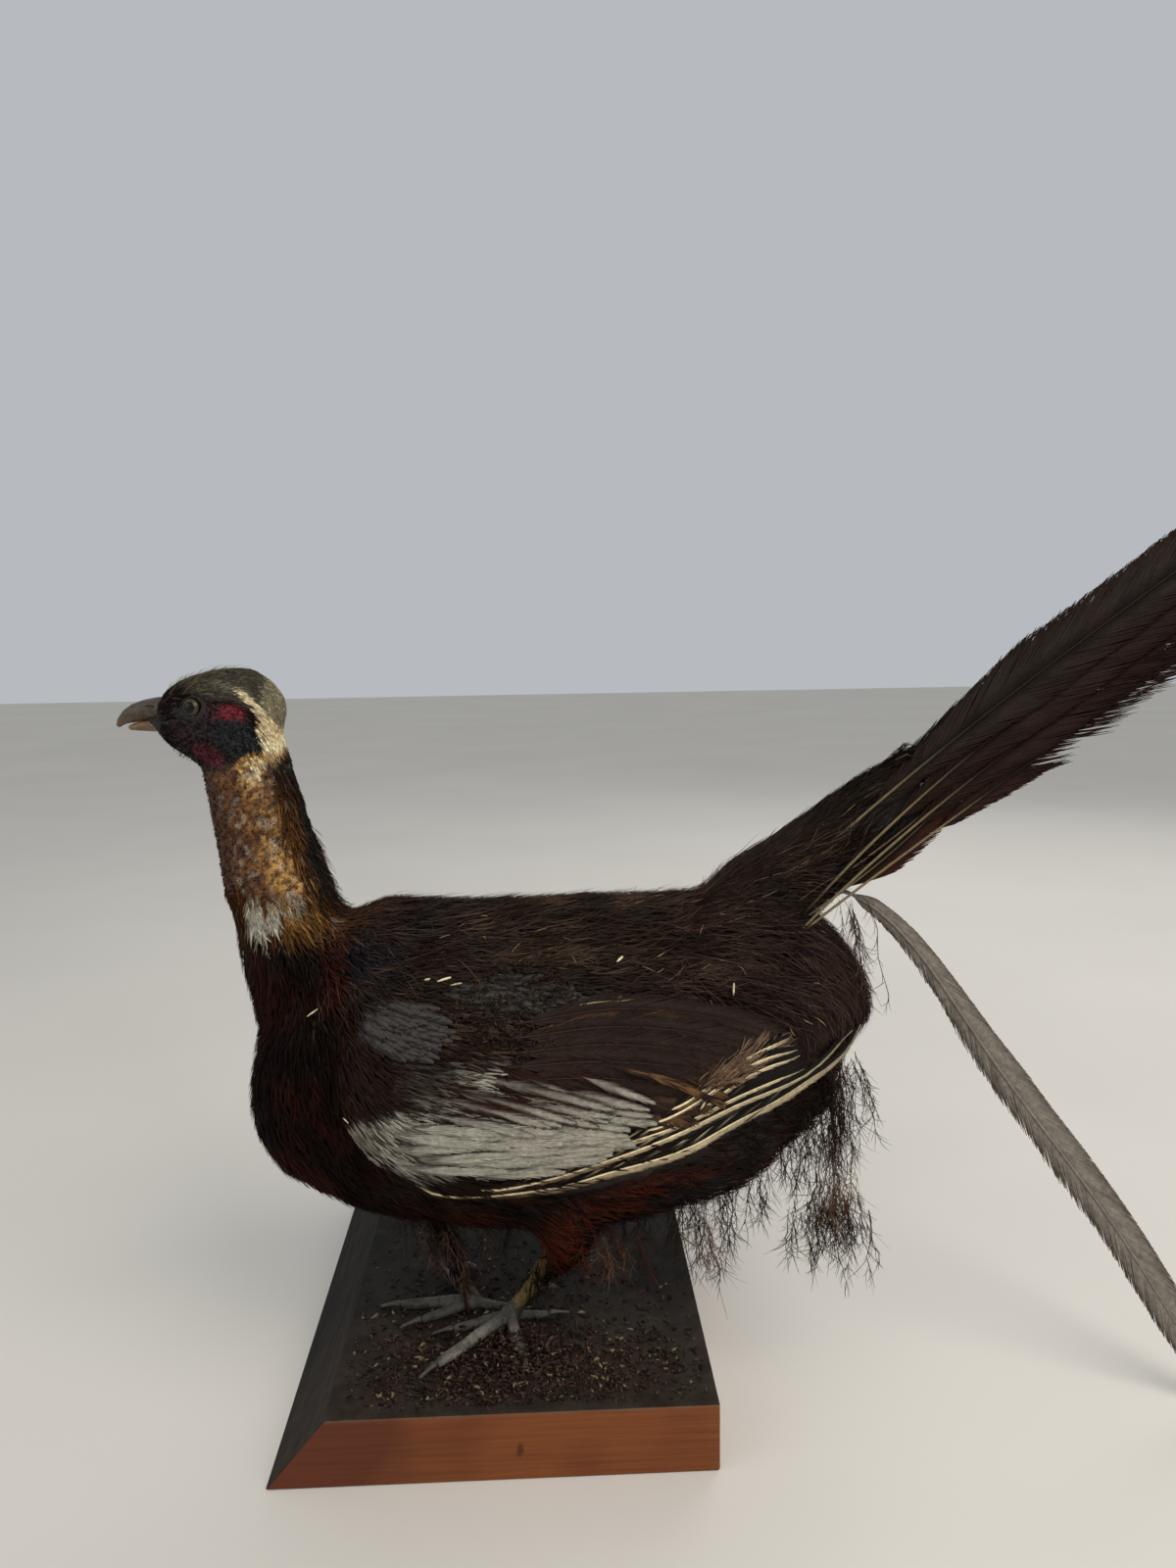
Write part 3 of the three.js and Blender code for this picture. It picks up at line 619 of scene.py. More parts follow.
def feather_finish(name, roughness, dust, contrast=0.5, gloss=0.06):
    """Barbs that take their colour from the mesh, streaked along the vane and a little dusty."""
    finish = Finish(name, specular_ior_level=gloss)
    vane = finish.node("UVMap", settings={"uv_map": "Vane"})
    streak = finish.noise(1.0, finish.stretched((9.0, 2.0, 1.0), vane), detail=3.0)
    speck = finish.noise(420.0, detail=4.0, rough=0.65)
    light = streak.ramp(0.3, 0.7, 1 - contrast, 1 + contrast) * speck.ramp(0.3, 0.7, 0.72, 1.28)
    base = finish.dusted(finish.shade(finish.tint(), light), dust)
    finish.bump(streak + speck, 0.25, 0.0006)
    return finish.done(base, speck.ramp(0.3, 0.7, roughness - 0.1, roughness + 0.1))


@lru_cache(maxsize=None)
def plumage_finish():
    """Soft, dull body feathers."""
    return feather_finish("old_plumage", 0.75, 0.14)


@lru_cache(maxsize=None)
def quill_finish():
    """Smoother, slightly glossy flight and tail feathers."""
    return feather_finish("flight_feather", 0.55, 0.08, contrast=0.28, gloss=0.12)


# ---------------------------------------------------------------- meshes
def new_piece(name, mesh, material, replaced=()):
    """Puts a finished mesh in the scene as a piece that rides on the model's one body."""
    piece = bpy.data.objects.new(name, mesh)
    bpy.context.scene.collection.objects.link(piece)
    mesh.materials.clear()
    mesh.materials.append(material)
    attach(piece, ROOT)
    if replaced:
        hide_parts(*replaced)
    return piece


def positions(mesh):
    """The mesh's vertices in bird millimetres."""
    flat = np.empty(len(mesh.vertices) * 3, np.float32)
    mesh.vertices.foreach_get("co", flat)
    return to_bird(flat.reshape(-1, 3))


def set_positions(mesh, points):
    """Moves the mesh's vertices to points in bird millimetres."""
    mesh.vertices.foreach_set("co", to_frame(points).astype(np.float32).ravel())
    mesh.update()


def normals(mesh):
    """The mesh's vertex normals."""
    flat = np.empty(len(mesh.vertices) * 3, np.float32)
    mesh.vertex_normals.foreach_get("vector", flat)
    return flat.reshape(-1, 3).astype(float)


def triangles_of(mesh):
    """The corners' numbers of each of the mesh's triangles."""
    mesh.calc_loop_triangles()
    flat = np.empty(len(mesh.loop_triangles) * 3, np.int32)
    mesh.loop_triangles.foreach_get("vertices", flat)
    return flat.reshape(-1, 3)


def areas_of(corners):
    """Twice the area of each triangle."""
    cross = np.cross(corners[:, 1] - corners[:, 0], corners[:, 2] - corners[:, 0])
    return np.linalg.norm(cross, axis=1)


def within(corners, rng):
    """A random point in each triangle."""
    a, b = rng.random((2, len(corners), 1))
    flip = a + b > 1
    a = np.where(flip, 1 - a, a)
    b = np.where(flip, 1 - b, b)
    first, second, third = (corners[:, k] for k in range(3))
    return first + (second - first) * a + (third - first) * b


def as_mesh(made, name):
    """Ends a bmesh, and returns it as a mesh."""
    mesh = bpy.data.meshes.new(name)
    made.to_mesh(mesh)
    made.free()
    return mesh


def set_tint(mesh, tints):
    """Gives each vertex its colour."""
    layer = mesh.color_attributes.new("tint", "FLOAT_COLOR", "POINT")
    rgba = np.ones((len(tints), 4), np.float32)
    rgba[:, :3] = np.clip(tints, 0, 1)
    layer.data.foreach_set("color", rgba.ravel())


def gather(nodes, swell=0.0004):
    """The merged meshes of some nodes, each a little swollen so that they run into each other."""
    made = bmesh.new()
    for name in nodes:
        made.from_mesh(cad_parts[name].data)
    bmesh.ops.remove_doubles(made, verts=made.verts, dist=1e-6)
    made.normal_update()
    for vertex in made.verts:
        vertex.co += vertex.normal * swell
    return made


def soften(made, corners, factor):
    """Moves some corners of a bmesh towards the middle of their neighbours."""
    bmesh.ops.smooth_vert(made, verts=corners, factor=factor, use_axis_x=True, use_axis_y=True,
                          use_axis_z=True)


def remeshed(made, voxel, times):
    """One even skin round everything in a bmesh, softened some times."""
    helper = bpy.data.objects.new("remesh", as_mesh(made, "remesh"))
    bpy.context.scene.collection.objects.link(helper)
    modifier = helper.modifiers.new("remesh", "REMESH")
    modifier.mode = "VOXEL"
    modifier.voxel_size = voxel
    graph = bpy.context.evaluated_depsgraph_get()
    even = bpy.data.meshes.new_from_object(helper.evaluated_get(graph))
    bpy.data.objects.remove(helper)
    made = bmesh.new()
    made.from_mesh(even)
    for _ in range(times):
        soften(made, made.verts, 0.5)
    return made


def finer(made, inside):
    """Halves the edges whose middles pass the test, and softens what that makes."""
    edges = []
    for edge in made.edges:
        middle = to_bird((edge.verts[0].co + edge.verts[1].co) / 2)
        if inside(*middle):
            edges.append(edge)
    cut = bmesh.ops.subdivide_edges(made, edges=edges, cuts=1, use_grid_fill=True, smooth=0.8)
    corners = [v for v in cut["geom_inner"] if isinstance(v, bmesh.types.BMVert)]
    soften(made, corners, 0.3)


# ---------------------------------------------------------------- skin
def coat_depth(points):
    """How far the skin lies inside the outline of the plumage, in millimetres."""
    full = sizes().coat_depth / MM
    x, z = points[:, 0], points[:, 2]
    depth = np.full(len(points), full)
    tail_base = smooth(112, 135, x) * smooth(30, 45, z - 0.75 * (x - 105) - 180)
    depth = depth + 3.5 * tail_base
    depth = depth + 9 * smooth(118, 160, x) * smooth(196, 168, z)
    neck = smooth(236, 262, z) * smooth(-62, -80, x)
    depth = depth + (1.0 - depth) * neck
    head = smooth(318, 330, z) * smooth(-70, -84, x)
    return depth + (0.55 - depth) * head


def sculpt_head(points, normal):
    """Sinks the eyes in lidded sockets, raises the wattle, brow and grain of the face, and sinks a gape
    line along the jaw.
    """
    x, z = points[:, 0], points[:, 2]
    out = np.sign(points[:, 1])
    lid = np.hypot((x - EYE_X) / 1.12, (z - EYE_Z) * np.where(z > EYE_Z, 1.12, 1.0))
    side = smooth(4, 8, np.abs(points[:, 1]))
    socket = smooth(4.6, 3.3, lid) * side
    rim = np.exp(-((lid - 4.7) / 0.75) ** 2) * side
    crease = np.exp(-((lid - 6.3) / 0.6) ** 2) * side
    ring_two = np.exp(-((lid - 7.6) / 0.8) ** 2) * side
    rise = 0.85 * rim - 0.35 * crease + 0.35 * ring_two
    wattle = smooth(20, 12, np.hypot((x + 124) / 1.2, (z - 334) / 0.9))
    wattle = wattle * side * smooth(348, 343, z)
    rise = rise + wattle * (0.5 + 0.9 * (mottle(points, 1.5, 41) - 0.5))
    brow = np.exp(-(((z - 352.5) - 0.1 * (x + 126)) / 1.6) ** 2) * smooth(-108, -116, x)
    rise = rise + 0.7 * brow * smooth(-146, -140, x) * side
    gape = np.exp(-(((z - 339.4) - 0.12 * (x + 146)) / 0.7) ** 2) * smooth(-134, -140, x)
    rise = rise - 0.9 * gape * side
    moved = points + normal * rise[:, None]
    moved[:, 1] = moved[:, 1] - out * 5.2 * socket
    return moved


def sculpt_neck(points, normal):
    """The granular dried skin of the bare neck, with long creases."""
    inside = smooth(238, 252, points[:, 2]) * smooth(326, 316, points[:, 2])
    grain = mottle(points, 1.9, 51) - 0.5
    pits = smooth(0.58, 0.75, mottle(points, 2.3, 25))
    ridge = mottle(points * (1, 1, 0.35), 4.5, 52) - 0.5
    return points + normal * (inside * (1.3 * grain + 1.3 * ridge - 0.6 * pits))[:, None]


def body_skin():
    """One skin over head, neck, trunk, wings, thighs and tail base, finer towards the face."""
    made = remeshed(gather(FLESH + WING_NODES), sizes().body_voxel, 5)
    finer(made, lambda x, y, z: x < -70 and z > 236)
    finer(made, lambda x, y, z: x < -86 and z > 316)
    mesh = as_mesh(made, "skin")
    points = positions(mesh)
    points = points - normals(mesh) * coat_depth(points)[:, None]
    set_positions(mesh, points)
    head = smooth(314, 322, points[:, 2]) * smooth(-80, -88, points[:, 0])
    normal = normals(mesh)
    points = mixed(points, sculpt_head(points, normal), head)
    points = sculpt_neck(points, normal)
    set_positions(mesh, points)
    set_tint(mesh, markings(points))
    return mesh


def leg_skin(side):
    """A scaled leg: the shank runs up inside the thigh, and the toes have cross scales and pads."""
    made = gather((f"tarsus_{side}", f"foot_{side}"), 0.0003)
    shank_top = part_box(f"tarsus_{side}")[1].z
    lean = Vector((0.35, -0.1, 0.9)) if side == "left" else Vector((-0.35, 0.1, 0.9))
    for vertex in made.verts:
        if vertex.co.z > shank_top - 0.007:
            vertex.co += lean * 0.014
    made = remeshed(made, sizes().leg_voxel, 4)
    mesh = as_mesh(made, "leg")
    points = positions(mesh)
    normal = normals(mesh)
    shank = smooth(42, 47, points[:, 2])
    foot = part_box(f"foot_{side}")
    joint = to_bird((foot[0] + foot[1]) / 2)
    reach = np.hypot(points[:, 0] - joint[0], points[:, 1] - joint[1])
    along = np.where(shank > 0.5, points[:, 2], reach)
    scute = 1 - np.mod(along / 2.1, 1.0)
    top = smooth(-0.2, 0.5, normal[:, 2] * (1 - shank) - normal[:, 0] * shank)
    grain = mottle(points, 0.9, 61) - 0.5
    rise = top * 0.38 * (scute - 0.5) + 0.22 * grain
    set_positions(mesh, points + normal * rise[:, None])
    set_tint(mesh, leg_markings(points))
    return mesh


def skin_finish():
    """Dried skin: grainy on the neck and face, dull and dusty."""
    finish = Finish("dried_skin", specular_ior_level=0.35)
    grain = finish.cells(900.0)
    cloud = finish.noise(260.0, detail=5.0, rough=0.65)
    light = cloud.ramp(0.3, 0.7, 0.55, 1.45) * grain.ramp(0.0, 0.6, 0.75, 1.2)
    finish.bump(cloud - grain * 0.6, 0.5, 0.0008)
    base = finish.dusted(finish.shade(finish.tint(), light), 0.2)
    return finish.done(base, cloud.ramp(0.3, 0.7, 0.5, 0.8))


class PHEASANT_OT_skin(bpy.types.Operator):
    """Makes the one skin that lies under the plumage, with its scaled legs"""

    bl_idname = "pheasant.skin"
    bl_label = "Skin and legs"

    def execute(self, context):
        joined = bmesh.new()
        for mesh in (body_skin(), leg_skin("left"), leg_skin("right")):
            joined.from_mesh(mesh)
        mesh = as_mesh(joined, "skin")
        mesh.shade_smooth()
        legs = ("tarsus_left", "tarsus_right", "foot_left", "foot_right")
        new_piece("skin", mesh, skin_finish(), FLESH + legs)
        return {"FINISHED"}


class Surface:
    """The skin as something that feathers can be laid on, in bird millimetres."""

    def __init__(self, mesh):
        points = positions(mesh)
        triangles = triangles_of(mesh)
        self.tree = BVHTree.FromPolygons(points.tolist(), triangles.tolist())
        self.corners = points[triangles]
        self.areas = areas_of(self.corners)
        self.middles = self.corners.mean(axis=1)

    def scatter(self, count, density, rng):
        """Random points on the skin, closer together where density is higher."""
        weight = self.areas * density(self.middles)
        if weight.sum() <= 0:
            raise RuntimeError("no skin is inside the region asked for")
        chosen = rng.choice(len(weight), size=count, p=weight / weight.sum())
        return within(self.corners[chosen], rng)

    def nearest(self, points):
        """The nearest point of the skin to each point, and its normal."""
        found = [self.tree.find_nearest(p) for p in points.tolist()]
        return np.array([f[0] for f in found], float), np.array([f[1] for f in found], float)

    def from_side(self, side, x, z):
        """The skin's outermost point on one side at x and z, or None where there is no skin."""
        hit = self.tree.ray_cast(Vector((x, 200 * side, z)), Vector((0, -side, 0)))
        return hit[0]


@lru_cache(maxsize=1)
def skin_surface():
    """The finished skin, ready to lay feathers on."""
    return Surface(bpy.data.objects["skin"].data)


# ---------------------------------------------------------------- coat
class Coat:
    """Collects closed blades and quills, and makes them one mesh."""

    def __init__(self):
        self.points = []
        self.tints = []
        self.corners = []
        self.starts = []
        self.vane = []
        self.patch = []
        self.total = 0
        self.loops = 0
        self.triangles = 0

    def add(self, rings, tints, patches, spread=0.003):
        """Adds many like bodies. rings is bodies x stations x points round x 3, and tints is
        bodies x stations x 3. patches is where each body's root lies on the unwrap."""
        bodies, stations, around, _ = rings.shape
        index = np.arange(stations * around).reshape(stations, around)
        ahead = np.roll(index, -1, axis=1)
        sides = np.stack([index[:-1], ahead[:-1], ahead[1:], index[1:]], axis=-1).reshape(-1, 4)
        template = np.concatenate([sides.ravel(), index[0, ::-1], index[-1]])
        lengths = np.concatenate([np.full(len(sides), 4), [around, around]])
        offsets = np.arange(bodies) * stations * around + self.total
        self.corners.append((template[None] + offsets[:, None]).ravel())
        starts = np.concatenate([[0], np.cumsum(lengths)[:-1]])
        loops = len(template)
        self.starts.append((starts[None] + np.arange(bodies)[:, None] * loops + self.loops).ravel())
        across = np.linspace(0, 1, around)[template % around]
        along = (template // around) / (stations - 1)
        local = np.stack([across, along], axis=-1)
        self.vane.append(np.tile(local, (bodies, 1)))
        place = np.asarray(patches)[:, None, :] + (local[None] - 0.5) * spread
        self.patch.append(place.reshape(-1, 2))
        self.points.append(rings.reshape(-1, 3))
        self.tints.append(np.repeat(tints.reshape(-1, 3), around, axis=0))
        self.total += bodies * stations * around
        self.loops += bodies * loops
        self.triangles += bodies * (2 * len(sides) + 2 * (around - 2))

    def mesh(self, name):
        """The mesh of all that was added."""
        if self.triangles >= MOST_TRIANGLES:
            raise RuntimeError(f"{name} has {self.triangles} triangles, which is too many")
        points = np.concatenate(self.points)
        corners = np.concatenate(self.corners)
        starts = np.concatenate(self.starts)
        mesh = bpy.data.meshes.new(name)
        mesh.vertices.add(len(points))
        mesh.vertices.foreach_set("co", to_frame(points).astype(np.float32).ravel())
        mesh.loops.add(len(corners))
        mesh.loops.foreach_set("vertex_index", corners.astype(np.int32))
        mesh.polygons.add(len(starts))
        mesh.polygons.foreach_set("loop_start", starts.astype(np.int32))
        for layer, places in (("OFBake", self.patch), ("Vane", self.vane)):
            made = mesh.uv_layers.new(name=layer)
            made.data.foreach_set("uv", np.concatenate(places).astype(np.float32).ravel())
        mesh.update(calc_edges=True)
        mesh.shade_smooth()
        set_tint(mesh, np.concatenate(self.tints))
        return mesh


def blade_rings(lines, ups, widths, heights):
    """Three-sided blades along lines: a flat underside, and a ridge along the middle of the top."""
    tangents = unit(np.gradient(lines, axis=1))
    right = unit(np.cross(tangents, ups))
    half = right * widths[..., None] / 2
    ridge = lines + unit(np.cross(right, tangents)) * heights[..., None]
    return np.stack([lines - half, ridge, lines + half], axis=2)


def tube_rings(lines, ups, radii, around=6):
    """Round rods along lines."""
    tangents = unit(np.gradient(lines, axis=1))
    right = unit(np.cross(tangents, ups))
    above = unit(np.cross(right, tangents))
    turns = np.arange(around) * 2 * math.pi / around
    rings = [lines + (above * math.sin(a) - right * math.cos(a)) * radii[..., None] for a in turns]
    return np.stack(rings, axis=2)


def wrapped(roots, headings, lengths, stations, cling, surface):
    """Lines that start at roots and follow the skin, with the skin's normals along them."""
    near, normal = surface.nearest(roots)
    line, facing = [near], [normal]
    place, heading = near, headings
    for _ in range(stations - 1):
        flat = heading - normal * (heading * normal).sum(-1, keepdims=True) * cling
        heading = unit(flat)
        guess = place + heading * (lengths / (stations - 1))[:, None]
        near, normal = surface.nearest(guess)
        place = guess + (near - guess) * cling
        line.append(place)
        facing.append(normal)
    return np.stack(line, axis=1), np.stack(facing, axis=1)


def plumes(coat, roots, tints, rng, length, width, lift, stations=4, stray=10.0, cling=1.0,
           curl=0.0, light=(0.6, 1.0), height=0.16, heading=None, tip=0.12, vary=0.38):
    """Lays narrow plumes from roots on the skin, following the lie of the coat.
    length and width are (least, most) in millimetres, lift is how far root and tip stand off,
    light is the brightness of root and tip, and tip is the share of the width at the tip."""
    count = len(roots)
    lie = lie_of(roots) if heading is None else heading
    turn = np.radians(rng.normal(0, stray, count))
    c, s = np.cos(turn), np.sin(turn)
    lie = np.stack([lie[:, 0] * c - lie[:, 2] * s, lie[:, 1], lie[:, 0] * s + lie[:, 2] * c], -1)
    lie = lie + np.stack([np.zeros(count), rng.normal(0, 0.12, count), np.zeros(count)], -1)
    lengths = rng.uniform(*length, count)
    lines, facing = wrapped(roots, unit(lie), lengths, stations, cling, skin_surface())
    share = np.linspace(0, 1, stations)
    off = lift[0] + (lift[1] - lift[0]) * share[None] * rng.uniform(0.5, 1.1, count)[:, None]
    lines = lines + facing * off[..., None]
    sway = unit(np.cross(np.gradient(lines, axis=1), facing))
    bend = rng.normal(0, 1, count)[:, None] * curl * share[None] ** 2
    lines = lines + sway * bend[..., None]
    profile = np.interp(share, (0, 0.3, 0.65, 1), (0.45, 1.0, 0.85 + 0.15 * (tip > 0.3), tip))
    widths = rng.uniform(*width, count)[:, None] * profile[None]
    heights = np.minimum(height, widths * 0.4)
    fade = np.interp(share, (0, 0.5, 1), (light[0], 1.0, light[1]))
    shades = tints[:, None] * fade[None, :, None]
    shades = shades * rng.uniform(1 - vary, 1 + vary, count)[:, None, None]
    coat.add(blade_rings(lines, facing, widths, heights), shades, unwrap(roots))


def lay(coat, count, region, rng, length, width, lift, shade=markings, **more):
    """Lays plumes from random roots in a region of the skin, coloured by shade."""
    roots = skin_surface().scatter(count, region, rng)
    plumes(coat, roots, shade(roots), rng, length, width, lift, **more)


class Shaft:
    """A smooth line of a quill, followed by distance, with the ways across and out of its vane."""

    def __init__(self, line, across, out):
        self.line = line
        self.across = across
        self.out = out
        steps = np.linalg.norm(np.diff(line, axis=0), axis=1)
        self.distance = np.concatenate([[0], np.cumsum(steps)])
        self.length = self.distance[-1]
        self.end = unit(line[-1] - line[-3])

    def at(self, distance, values):
        """values, which belong to the line's points, at some distances along it."""
        return np.stack([np.interp(distance, self.distance, values[:, k]) for k in range(3)], -1)

    def place(self, distance):
        """Places along the line, and straight on past its end."""
        past = np.maximum(distance - self.length, 0)
        return self.at(distance, self.line) + past[..., None] * self.end


def quill(coat, shaft, rng, width, shade, patch_row, angle=24.0, gap=None, start=0.04,
          ragged=0.08, lean=4.0, clump=9.0, curve=0.55, rod=(0.6, 0.15), rod_shade=None, cup=0.0,
          shape=None, split=0.0, fray=None, stations=4, overlap=2.3, jitter=0.7):
    """A flight or tail feather: a rod with separate barbs along both of its edges.
    width is (side -1, side 1). shade(t, s, side, rng) is the colour at t along the quill and s out
    along a barb. shape(t, side) is the share of the width at t, and fray(t, side) how torn it is."""
    gap = gap or sizes().barb_gap / MM
    count = max(6, int(shaft.length / gap))
    share = np.linspace(0, 1, stations)
    for side, reach in ((-1, width[0]), (1, width[1])):
        t = np.linspace(start, 0.985, count) + rng.normal(0, 0.12 / count, count)
        worn = fray(t, side) if fray else np.zeros(count)
        row = np.array([0.0, side * 7.3, patch_row * 50])
        along = row + np.stack([t * shaft.length / clump, 0 * t, 0 * t], -1)
        form = shape(t, side) if shape else quill_shape(t)
        size = reach * form * (1 - (ragged + 0.35 * worn) * rng.random(count)) + 0.2
        torn = (mottle(along * 1.7, 1.0, 72) < split + 0.4 * worn) & (t > 0.08)
        size = np.where(torn, size * rng.uniform(0.2, 0.7, count), size)
        a = angle + 2 * lean * (1 + 3 * worn) * (mottle(along, 1.0, 71) - 0.5)
        a = np.radians(a + rng.normal(0, jitter, count) * (1 + 4 * worn))
        a = a[:, None] * (1 - curve * 0.5 * share[None])
        step = (size / np.sin(np.radians(angle)) / (stations - 1))[:, None]
        ahead = np.concatenate([np.zeros((count, 1)), np.cumsum(np.cos(a[:, :-1]) * step, 1)], 1)
        aside = np.concatenate([np.zeros((count, 1)), np.cumsum(np.sin(a[:, :-1]) * step, 1)], 1)
        place = t[:, None] * shaft.length + ahead
        normal = shaft.at(place, shaft.out)
        across = shaft.at(place, shaft.across) * side
        sag = cup * (aside / max(reach, 1)) ** 2 * reach
        lines = shaft.place(place) + across * aside[..., None] - normal * sag[..., None]
        flutter = rng.normal(0, 0.15 + 0.5 * worn, count)[:, None, None] * share[None, :, None]
        lines = lines + normal * flutter
        spacing = shaft.length / count * math.sin(math.radians(angle)) * overlap
        taper = np.interp(share, (0, 0.6, 1), (1.0, 0.95, 0.3))
        widths = spacing * (1 - 0.6 * worn)[:, None] * taper[None]
        heights = np.minimum(0.2, widths * 0.4)
        tints = shade(t[:, None] + 0 * share[None], share[None] + 0 * t[:, None], side, rng)
        patches = np.stack([0.02 + 0.96 * t, np.full(count, patch_row + 0.004 * side)], -1)
        coat.add(blade_rings(lines, normal, widths, heights), tints, patches)
    t = np.linspace(0, 1, 26)
    out = shaft.at(t * shaft.length, shaft.out)
    line = shaft.place(t * shaft.length) + out * 0.25
    radii = np.interp(t, (0, 1), rod)[None]
    tints = (rod_shade(t) if rod_shade else shade(t[None], 0 * t[None], 0, rng)[0])[None]
    coat.add(tube_rings(line[None], out[None], radii), tints, np.array([[0.5, patch_row]]), 0.012)


def quill_shape(t):
    """The width of a long feather along its length, narrow at the root and rounded at the tip."""
    return np.minimum(1, 0.3 + 3.0 * t) * np.clip(1 - t**5, 0, 1) ** 0.5


# ---------------------------------------------------------------- eyes, bill and claws
class PHEASANT_OT_eyes(bpy.types.Operator):
    """Makes the two glass eyes"""

    bl_idname = "pheasant.eyes"
    bl_label = "Glass eyes"

    def execute(self, context):
        for side, sign in SIDES:
            made = bmesh.new()
            bmesh.ops.create_uvsphere(made, u_segments=40, v_segments=24, radius=GLASS_RADIUS)
            middle = Vector(to_frame((EYE_X, sign * EYE_OUT, EYE_Z)))
            gaze = Vector((-0.22, sign, 0.04)).normalized()
            turn = gaze.to_track_quat("Z", "Y").to_matrix().to_4x4()
            bmesh.ops.transform(made, matrix=Matrix.Translation(middle) @ turn, verts=made.verts)
            mesh = as_mesh(made, f"glass_eye_{side}")
            mesh.shade_smooth()
            finish = self.finish(side, middle, gaze)
            new_piece(f"glass_eye_{side}", mesh, finish, (f"eye_{side}",))
        return {"FINISHED"}

    def finish(self, side, middle, gaze):
        """A dark pupil in an olive iris that darkens to its rim, under clear glass."""
        finish = Finish(f"eye_{side}", roughness=0.18, specular_ior_level=0.22)
        away = finish.vector("SUBTRACT", finish.place, tuple(middle))
        height = finish.vector("DOT_PRODUCT", away, tuple(gaze), output="Value") / GLASS_RADIUS
        cloud = finish.noise(900.0, detail=3.0)
        iris = finish.shade(ink("iris"), cloud.ramp(0.3, 0.7, 0.35, 1.1))
        dark = finish.shade(ink("face"), cloud.ramp(0.3, 0.7, 0.3, 0.8))
        base = finish.blend(height.ramp(0.45, 0.6), dark, iris)
        base = finish.blend(height.ramp(0.79, 0.83), base, (0.003, 0.003, 0.003))
        return finish.done(base)


class PHEASANT_OT_bill(bpy.types.Operator):
    """Makes the two halves of the bill, with a nostril and a cutting edge"""

    bl_idname = "pheasant.bill"
    bl_label = "Bill"

    def execute(self, context):
        for half in ("upper", "lower"):
            made = remeshed(gather((f"bill_{half}",), 0.0002), BILL_VOXEL, 5)
            mesh = as_mesh(made, f"horn_{half}")
            points = positions(mesh)
            normal = normals(mesh)
            rise = 0.12 * (mottle(points * (0.4, 1, 1), 0.9, 81) - 0.5)
            if half == "upper":
                slot = np.hypot((points[:, 0] + 152.6) / 2.6, (points[:, 2] - 345.2) / 1.0)
                flap = np.hypot((points[:, 0] + 152.2) / 3.6, (points[:, 2] - 347.0) / 1.5)
                rise = rise - 1.1 * smooth(1.1, 0.6, slot) + 0.45 * smooth(1.2, 0.5, flap)
            set_positions(mesh, points + normal * rise[:, None])
            pale = smooth(-150, -163, points[:, 0]) * 0.35
            shades = rows_of("horn", len(points))
            warm = 0.85 if half == "lower" else 0.25 * smooth(342, 338, points[:, 2])
            shades = paint(shades, "horn_pale", np.clip(warm * (0.6 + pale), 0, 1))
            set_tint(mesh, shades * (0.7 + 0.6 * mottle(points, 2.2, 82))[:, None])
            mesh.shade_smooth()
            new_piece(f"horn_{half}", mesh, horn_finish(), (f"bill_{half}",))
        return {"FINISHED"}


@lru_cache(maxsize=None)
def horn_finish():
    """Dull horn with fine lengthwise streaks and pale scuffs."""
    finish = Finish("horn", specular_ior_level=0.45)
    streak = finish.noise(500.0, finish.stretched((0.35, 1.0, 1.0)), detail=4.0)
    light = streak.ramp(0.3, 0.7, 0.6, 1.4)
    scuff = finish.noise(1300.0, detail=2.0).ramp(0.6, 0.72) * 0.35
    base = finish.blend(scuff, finish.shade(finish.tint(), light), ink("straw"))
    finish.bump(streak, 0.3, 0.0004)
    return finish.done(finish.dusted(base, 0.25), streak.ramp(0.3, 0.7, 0.35, 0.6))


class PHEASANT_OT_claws(bpy.types.Operator):
    """Makes the eight claws and two spurs"""

    bl_idname = "pheasant.claws"
    bl_label = "Claws and spurs"

    def execute(self, context):
        nodes = [f"claw_{side}_{toe}" for side in ("left", "right") for toe in TOES]
        nodes += ["spur_left", "spur_right"]
        made = gather(nodes, 0.0)
        bmesh.ops.subdivide_edges(made, edges=made.edges, cuts=2, use_grid_fill=True, smooth=0.6)
        soften(made, made.verts, 0.4)
        mesh = as_mesh(made, "claws")
        points = positions(mesh)
        shades = rows_of("toe", len(points)) * 0.8
        set_tint(mesh, shades * (0.55 + 0.8 * mottle(points, 2.5, 83))[:, None])
        mesh.shade_smooth()
        new_piece("claws", mesh, horn_finish(), nodes)
        return {"FINISHED"}


# ---------------------------------------------------------------- plumage of the head and body
def plumage_piece(name, coat):
    """Makes a coat piece of body feathers."""
    return new_piece(name, coat.mesh(name), plumage_finish())


def quill_piece(name, coat, replaced):
    """Makes a coat piece of flight or tail feathers."""
    return new_piece(name, coat.mesh(name), quill_finish(), replaced)


# The folded wing's outline in side view: its lower and upper edges at some places along it.
WING_X = (-66, -54, -28, 20, 66, 106, 140, 173)
WING_LOW = (160, 145, 128, 119, 127, 143, 166, 193)
WING_HIGH = (190, 212, 229, 230, 222, 208, 201, 200)


def off_wing(points):
    """0 where the folded wing covers the body, and 1 elsewhere."""
    x, z, out = points[:, 0], points[:, 2], np.abs(points[:, 1])
    low = np.interp(x, WING_X, WING_LOW)
    high = np.interp(x, WING_X, WING_HIGH)
    inside = smooth(low - 1, low + 5, z) * smooth(high + 1, high - 5, z) * smooth(-68, -58, x)
    return 1 - inside * smooth(170, 160, x) * smooth(14, 24, out)


